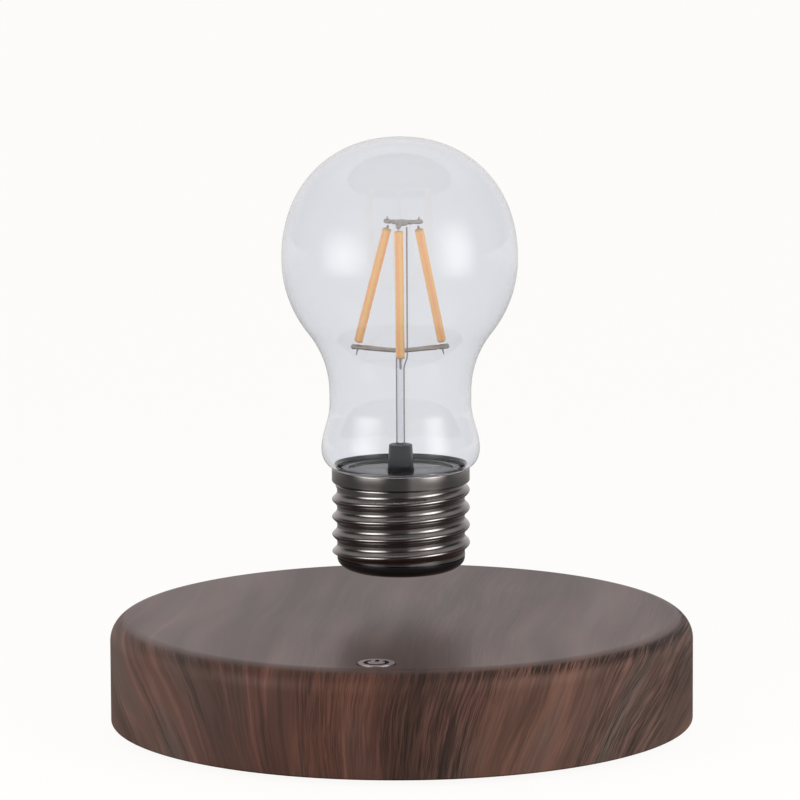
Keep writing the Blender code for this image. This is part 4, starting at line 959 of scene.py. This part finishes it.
# The inner side lies one wall thickness inside the outer one, square to it, and straight up along
# the seat, whose points are the last five.
outer_side = glass_side()
slope = np.gradient(outer_side, axis=0)
slope /= np.linalg.norm(slope, axis=1, keepdims=True)
inner_side = outer_side + glass_wall * np.stack([slope[:, 1], -slope[:, 0]], axis=1)
inner_side[0] = (0.0, outer_side[0, 1] - glass_wall)
inner_side[-5:, 0] = neck_radius - glass_wall
inner_side[-5:, 1] = outer_side[-5:, 1]
lip = arc((neck_radius - glass_wall / 2, glass_foot + 0.0002), (glass_wall / 2, 0.0002), 0, -np.pi, 8)
glass_outline = np.concatenate([outer_side[:-1], lip, inner_side[:-1][::-1]])
glass = piece("clear_bulb_glass", clear_glass, lathe(glass_outline, 256), sharp=80.0)
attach(glass, "bulb")
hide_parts("glass_envelope")


# SLEEVE AND STEM
# A black moulded sleeve, a little narrower at its top, stands on the receiver board. A thin
# glass rod rises out of it to the lower spider.
sleeve_black = plain_finish("sleeve_black", (0.03, 0.031, 0.034), 0.36, 0.00001, grain=1500.0)
sleeve_low, sleeve_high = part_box("stem_sleeve")
stem_low, stem_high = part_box("glass_stem")
stem_radius = stem_high.x
sleeve_bore = stem_radius + clearance
sleeve_outline = rounded([
    (sleeve_bore, sleeve_high.z, 0.0001), (0.003, sleeve_high.z, 0.0004), (sleeve_radius, disc_top, 0.0),
    (sleeve_radius, sleeve_low.z, 0.0002), (sleeve_bore, sleeve_low.z, 0.0001),
], loop=True)
front_angle = math.radians(-84)
lead_angle = front_angle + math.pi / 3
lead_radius = 0.0002
lead_at = stem_radius + clearance + lead_radius


def around(circle, angle):
    """The point of a circle about the lamp's axis at an angle."""
    return np.array([circle * math.cos(angle), circle * math.sin(angle)])


right_lead, left_lead = around(lead_at, lead_angle), around(lead_at, lead_angle + math.pi)
sleeve = piece("stem_sleeve_moulding", sleeve_black, lathe(sleeve_outline, 96, loop=True))
below, above = sleeve_low.z - 0.001, sleeve_high.z + 0.001
carve(sleeve, [plug(lead_radius + clearance, below, above, at) for at in (right_lead, left_lead)])
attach(sleeve, "bulb")
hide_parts("stem_sleeve")

stem_outline = rounded([
    (0.0, stem_high.z, 0.0), (stem_radius, stem_high.z, stem_radius * 0.9), (stem_radius, stem_low.z, 0.0001),
    (0.0, stem_low.z, 0.0),
], count=8)
stem = piece("stem_rod", clear_glass, lathe(stem_outline, 48), sharp=80.0)
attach(stem, "bulb")
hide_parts("glass_stem")


# SPIDERS
# Two three-armed frames of dull drawn wire hold the filaments. The arms are pressed flat where
# they meet, and short pins, crimped in their ends, point down below and up above.
frame_wire = plain_finish(
    "frame_wire", (0.60, 0.55, 0.50), 0.45, 0.00003, smudges=500.0, grain=1800.0, variation=0.3, Metallic=0.7
)
hub_half, lower_hub, upper_hub = 0.0007, 0.0013, 0.0017
front_arm, back_arm, upper_arm, arm_radius = 0.0116, 0.0146, 0.0058, 0.00065
lower_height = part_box("lower_spider")[1].z - hub_half
upper_height = lower_height + 0.0327
frame_twist, frame_shift = math.radians(-10), 0.0006
lower_seat, upper_seat, upper_drop = 0.0125, 0.0045, 0.0005
frame_pin, pin_point = 0.0003, 0.00012


def spider(height, shift, hub, arms, drops, seat, twist, pin_length):
    """Skins of a spider: a hub with round edges, and arms of twisted wire that may slope down by
    a drop. A pin tapers as it leaves an arm at the seat, up or, with a negative length, down. The
    middle is shifted towards the long wire."""
    middle = around(shift, lead_angle)
    skins = [lathe(rounded([
        (0.0, height + hub_half, 0.0), (hub, height + hub_half, 0.0005), (hub, height - hub_half, 0.0005),
        (0.0, height - hub_half, 0.0),
    ]), 48, middle)]
    for k, (arm, drop) in enumerate(zip(arms, drops)):
        angle = front_angle + twist + 2 * math.pi * k / 3
        out = np.linspace(hub * 0.4, arm, 90)
        x, y = middle[0] + out * math.cos(angle), middle[1] + out * math.sin(angle)
        line = np.stack([x, y, height - drop * out / arm], axis=1)
        ridges = 0.5 + 0.25 * np.sin(out * 9000 + k) + 0.25 * np.sin(out * 5300 + 2 * k)
        width = arm_radius * (0.9 + 0.1 * ridges)
        width *= 1 - 0.2 * np.exp(-(((out - seat + 0.0011) / 0.0004) ** 2))
        skins.append(tube(line, width, 20))
        if arm > seat:
            foot = height - drop * seat / arm
            start = np.append(middle + around(seat, angle), foot)
            end = np.append(middle + around(seat + abs(pin_length) / 4, angle), foot + pin_length)
            taper = np.linspace(frame_pin, pin_point, 10)
            skins.append(tube(np.linspace(start, end, 10), taper, 14, up=(0.0, 1.0, 0.0)))
    return skins


lower_frame = piece("lower_frame", frame_wire, *spider(
    lower_height, 0.0, lower_hub, (front_arm, back_arm, back_arm), (0, 0, 0), lower_seat, 0.0,
    -0.0022,
))
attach(lower_frame, "bulb")
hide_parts("lower_spider")
upper_frame = piece("upper_frame", frame_wire, *spider(
    upper_height, frame_shift, upper_hub, (upper_arm,) * 3, (upper_drop, 0, 0), upper_seat, frame_twist,
    0.0013,
))
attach(upper_frame, "bulb")
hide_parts("upper_spider")


# SUPPLY WIRES
# Two thin nickel wires run up beside the stem. One ends at the lower spider, and the other jogs
# past its hub and goes on to the upper spider.
lead_wire = plain_finish("lead_wire", (0.45, 0.43, 0.41), 0.35, variation=0.12, Metallic=1.0)
lead_low, lead_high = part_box("upper_lead")
jog = 0.0015
clear_of_hub = around(lower_hub + 2 * clearance + lead_radius, lead_angle)


def smooth_path(corners, count=160):
    """Even steps along straight runs between corners, softened five times: each point becomes the
    mean of itself and its neighbours."""
    corners = np.array(corners, float)
    length = np.concatenate([[0.0], np.cumsum(np.linalg.norm(np.diff(corners, axis=0), axis=1))])
    places = np.linspace(0, length[-1], count)
    path = np.stack([np.interp(places, length, corners[:, k]) for k in range(3)], axis=1)
    for _ in range(5):
        path[1:-1] = (path[:-2] + path[1:-1] + path[2:]) / 3
    return path


lead_foot = lower_height - hub_half - jog
upper_path = smooth_path([
    (*right_lead, lead_low.z), (*right_lead, lead_foot - jog), (*clear_of_hub, lead_foot),
    (*clear_of_hub, lead_high.z),
])
long_wire = piece("long_supply_wire", lead_wire, tube(upper_path, lead_radius, 14, up=(0.0, 1.0, 0.0)))
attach(long_wire, "bulb")
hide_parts("upper_lead")
lead_low, lead_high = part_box("lower_lead")
lower_path = smooth_path([(*left_lead, lead_low.z), (*left_lead, lead_high.z)], 40)
short_wire = piece("short_supply_wire", lead_wire, tube(lower_path, lead_radius, 14, up=(0.0, 1.0, 0.0)))
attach(short_wire, "bulb")
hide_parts("lower_lead")


# FILAMENTS
# Each stick is a glass strip with a row of tiny chips, cast in amber phosphor. A pressed metal tab
# leaves it at each end and is welded to a spider.
# The phosphor also glows faintly in its own amber: painted light that brightens the sticks inside the glass.
phosphor, tree, shader = new_material("amber_phosphor_glowing", Roughness=0.5, IOR=1.4, Emission_Strength=0.3)
stick_parts = parts_of(tree, add_node(tree, "UVMap", uv_map="stick").outputs["UV"])
side_wave = calculate(tree, "SINE", calculate(tree, "MULTIPLY", stick_parts["X"], 8 * math.pi))
stripe = calculate(tree, "MULTIPLY_ADD", side_wave, 0.5, 0.5)
amber = mixed(tree, eased(tree, stripe, 0.2, 0.8), (0.98, 0.50, 0.27, 1.0), (0.96, 0.62, 0.26, 1.0))
mottle = noise(tree, object_place(tree), 900.0, 3.0)
amber = mixed(tree, eased(tree, mottle, 0.35, 0.75, 0.0, 0.35), amber, (0.96, 0.60, 0.40, 1.0))
from_middle = away_from(tree, stick_parts["Y"], 0.5)
amber = mixed(tree, eased(tree, from_middle, 0.47, 0.5, 0.0, 0.75), amber, (0.50, 0.43, 0.30, 1.0))
feed(tree, shader, Base_Color=amber, Emission_Color=amber)
relief(tree, shader, mottle, 0.00004)
filament_radius, tab_radius = 0.00115, 0.0003
short_tab, upper_tab, front_tab = 0.0001, 0.0008, 0.0026
front_seat = front_arm + filament_radius + 2 * clearance


def unit(vector):
    """A vector's direction, of length 1."""
    return vector / np.linalg.norm(vector)


def map_stick(mesh, start, end, outwards):
    """A stick's own UV map: U goes once round it, starting at its outer side, and V runs from 0 to
    1 from its start to its end."""
    along = unit(end - start)
    side = unit(np.cross(along, outwards))
    spots = np.empty(len(mesh.vertices) * 3)
    mesh.vertices.foreach_get("co", spots)
    spots = spots.reshape(-1, 3) - start
    up_stick = spots @ along
    across = np.arctan2(spots @ side, (spots - up_stick[:, None] * along) @ outwards) / (2 * np.pi)
    corner_vertex = np.empty(len(mesh.loops), int)
    mesh.loops.foreach_get("vertex_index", corner_vertex)
    place = np.stack([across, up_stick / np.linalg.norm(end - start)], axis=1)[corner_vertex]
    mesh.uv_layers.new(name="stick").data.foreach_set("uv", place.ravel())


for k in range(3):
    low_angle = front_angle + 2 * math.pi * k / 3
    high_seat = around(frame_shift, lead_angle) + around(upper_seat, low_angle + frame_twist)
    sag = upper_drop * upper_seat / upper_arm if k == 0 else 0.0
    end = np.append(high_seat, upper_height - hub_half - clearance - sag)
    if k == 0:
        stick_start = np.append(around(front_seat, low_angle), lower_height - 0.0004)
    else:
        start = np.append(around(lower_seat, low_angle), lower_height + arm_radius + clearance / 2)
        stick_start = start + unit(end - start) * short_tab
    along = unit(end - stick_start)
    stick_end = end - along * (short_tab if k == 0 else upper_tab)
    start = stick_start - along * (front_tab if k == 0 else short_tab)
    t = np.linspace(0, 1, 48)
    wobble = 1 - 0.04 * (0.5 + 0.5 * np.sin(17 * t + 2 * k) * np.sin(41 * t + k))
    outwards = (*around(1.0, low_angle), 0.0)
    path = np.linspace(stick_start, stick_end, 48)
    rod = tube(path, filament_radius * wobble, 28, up=outwards, tips=8, cap=0.35)
    stick = piece(f"filament_stick_{k + 1}", phosphor, rod)
    map_stick(stick.data, stick_start, stick_end, outwards)
    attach(stick, "bulb")
    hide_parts(f"filament_{k + 1}")
    low_tab = np.linspace(start, stick_start + along * upper_tab / 2, 10)
    high_tab = np.linspace(end, stick_end - along * upper_tab / 2, 10)
    tabs = [tube(tab, tab_radius, 14, up=outwards) for tab in (low_tab, high_tab)]
    ends = piece(f"filament_tabs_{k + 1}", lead_wire, *tabs)
    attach(ends, "bulb")


# PARTS INSIDE THE BASE AND THE CAP
# The boards, magnets, coils, chips, spring and leads are the plain solids of the model, in the
# finish of the real parts: solder mask with tracks, ferrite, wound enamelled wire, plated steel.
def circuit_board(name):
    """Green solder mask over copper tracks, which run in square steps and show as paler lines."""
    material, tree, shader = new_material(name, Roughness=0.4)
    inputs = {"Vector": object_place(tree), "Scale": 320.0}
    cells = add_node(tree, "TexVoronoi", inputs, distance="CHEBYCHEV")
    steps = calculate(tree, "FRACT", calculate(tree, "MULTIPLY", cells.outputs["Distance"], 5.0))
    tracks = calculate(tree, "GREATER_THAN", steps, 0.62)
    mask = mixed(tree, tracks, (0.008, 0.075, 0.032, 1.0), (0.02, 0.15, 0.06, 1.0))
    feed(tree, shader, Base_Color=mask)
    relief(tree, shader, tracks, 0.00003)
    return material


wire_thickness = 0.0004


def wound_wire(name, centre, flat):
    """Enamelled copper wire wound round an upright axis: ridges up the height, or out from the
    axis on a flat coil."""
    material, tree, shader = new_material(name, Metallic=1.0, Roughness=0.3)
    inputs = {0: object_place(tree), 1: (*centre, 0.0)}
    from_centre = add_node(tree, "VectorMath", inputs, operation="SUBTRACT")
    out, up = from_axis(tree, from_centre.outputs[0])
    turns = calculate(tree, "MULTIPLY", out if flat else up, 2 * math.pi / wire_thickness)
    wave = calculate(tree, "SINE", turns)
    ridge = calculate(tree, "MULTIPLY_ADD", wave, 0.5, 0.5)
    colour = mixed(tree, ridge, (0.25, 0.09, 0.035, 1.0), (0.72, 0.33, 0.16, 1.0))
    feed(tree, shader, Base_Color=colour)
    relief(tree, shader, ridge, 0.0001)
    return material


def give(material, *names):
    """Gives a finish to the model's own solids."""
    for name in names:
        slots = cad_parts[name].data.materials
        slots.clear()
        slots.append(material)


give(circuit_board("solder_mask"), "main_board", "sensor_board", "touch_board", "receiver_board")
ferrite = plain_finish(
    "ferrite", (0.05, 0.05, 0.055), 0.6, 0.00003, smudges=400.0, grain=1500.0, variation=0.3
)
give(ferrite, "ring_magnet")
give(moulded_black, "coil_carrier", "sensor_post", *[f"coil_bobbin_{k + 1}" for k in range(4)])
epoxy = plain_finish("chip_epoxy", (0.02, 0.02, 0.02), 0.55, 0.00002, grain=3500.0)
give(epoxy, "control_chip", "driver_chip")
film_blue = plain_finish("capacitor_film", (0.03, 0.06, 0.2), 0.3, variation=0.06)
give(film_blue, "smoothing_capacitor")
give(zinc, "touch_spring", *[f"board_screw_{k + 1}" for k in range(3)])
give(zinc, *[f"coil_core_{k + 1}" for k in range(4)])
give(nickel, "float_magnet")
red_lead = plain_finish("red_insulation", (0.5, 0.02, 0.02), 0.42, 0.00001, grain=2500.0)
black_lead = plain_finish("black_insulation", (0.02, 0.02, 0.02), 0.42, 0.00001, grain=2500.0)
give(red_lead, "socket_lead_red")
give(black_lead, "socket_lead_black", "touch_lead")
for k in range(4):
    name = f"coil_winding_{k + 1}"
    give(wound_wire(f"wound_copper_{k + 1}", middle_of(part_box(name)), flat=False), name)
give(wound_wire("flat_wound_copper", (0.0, 0.0), flat=True), "power_coil", "receiver_coil")
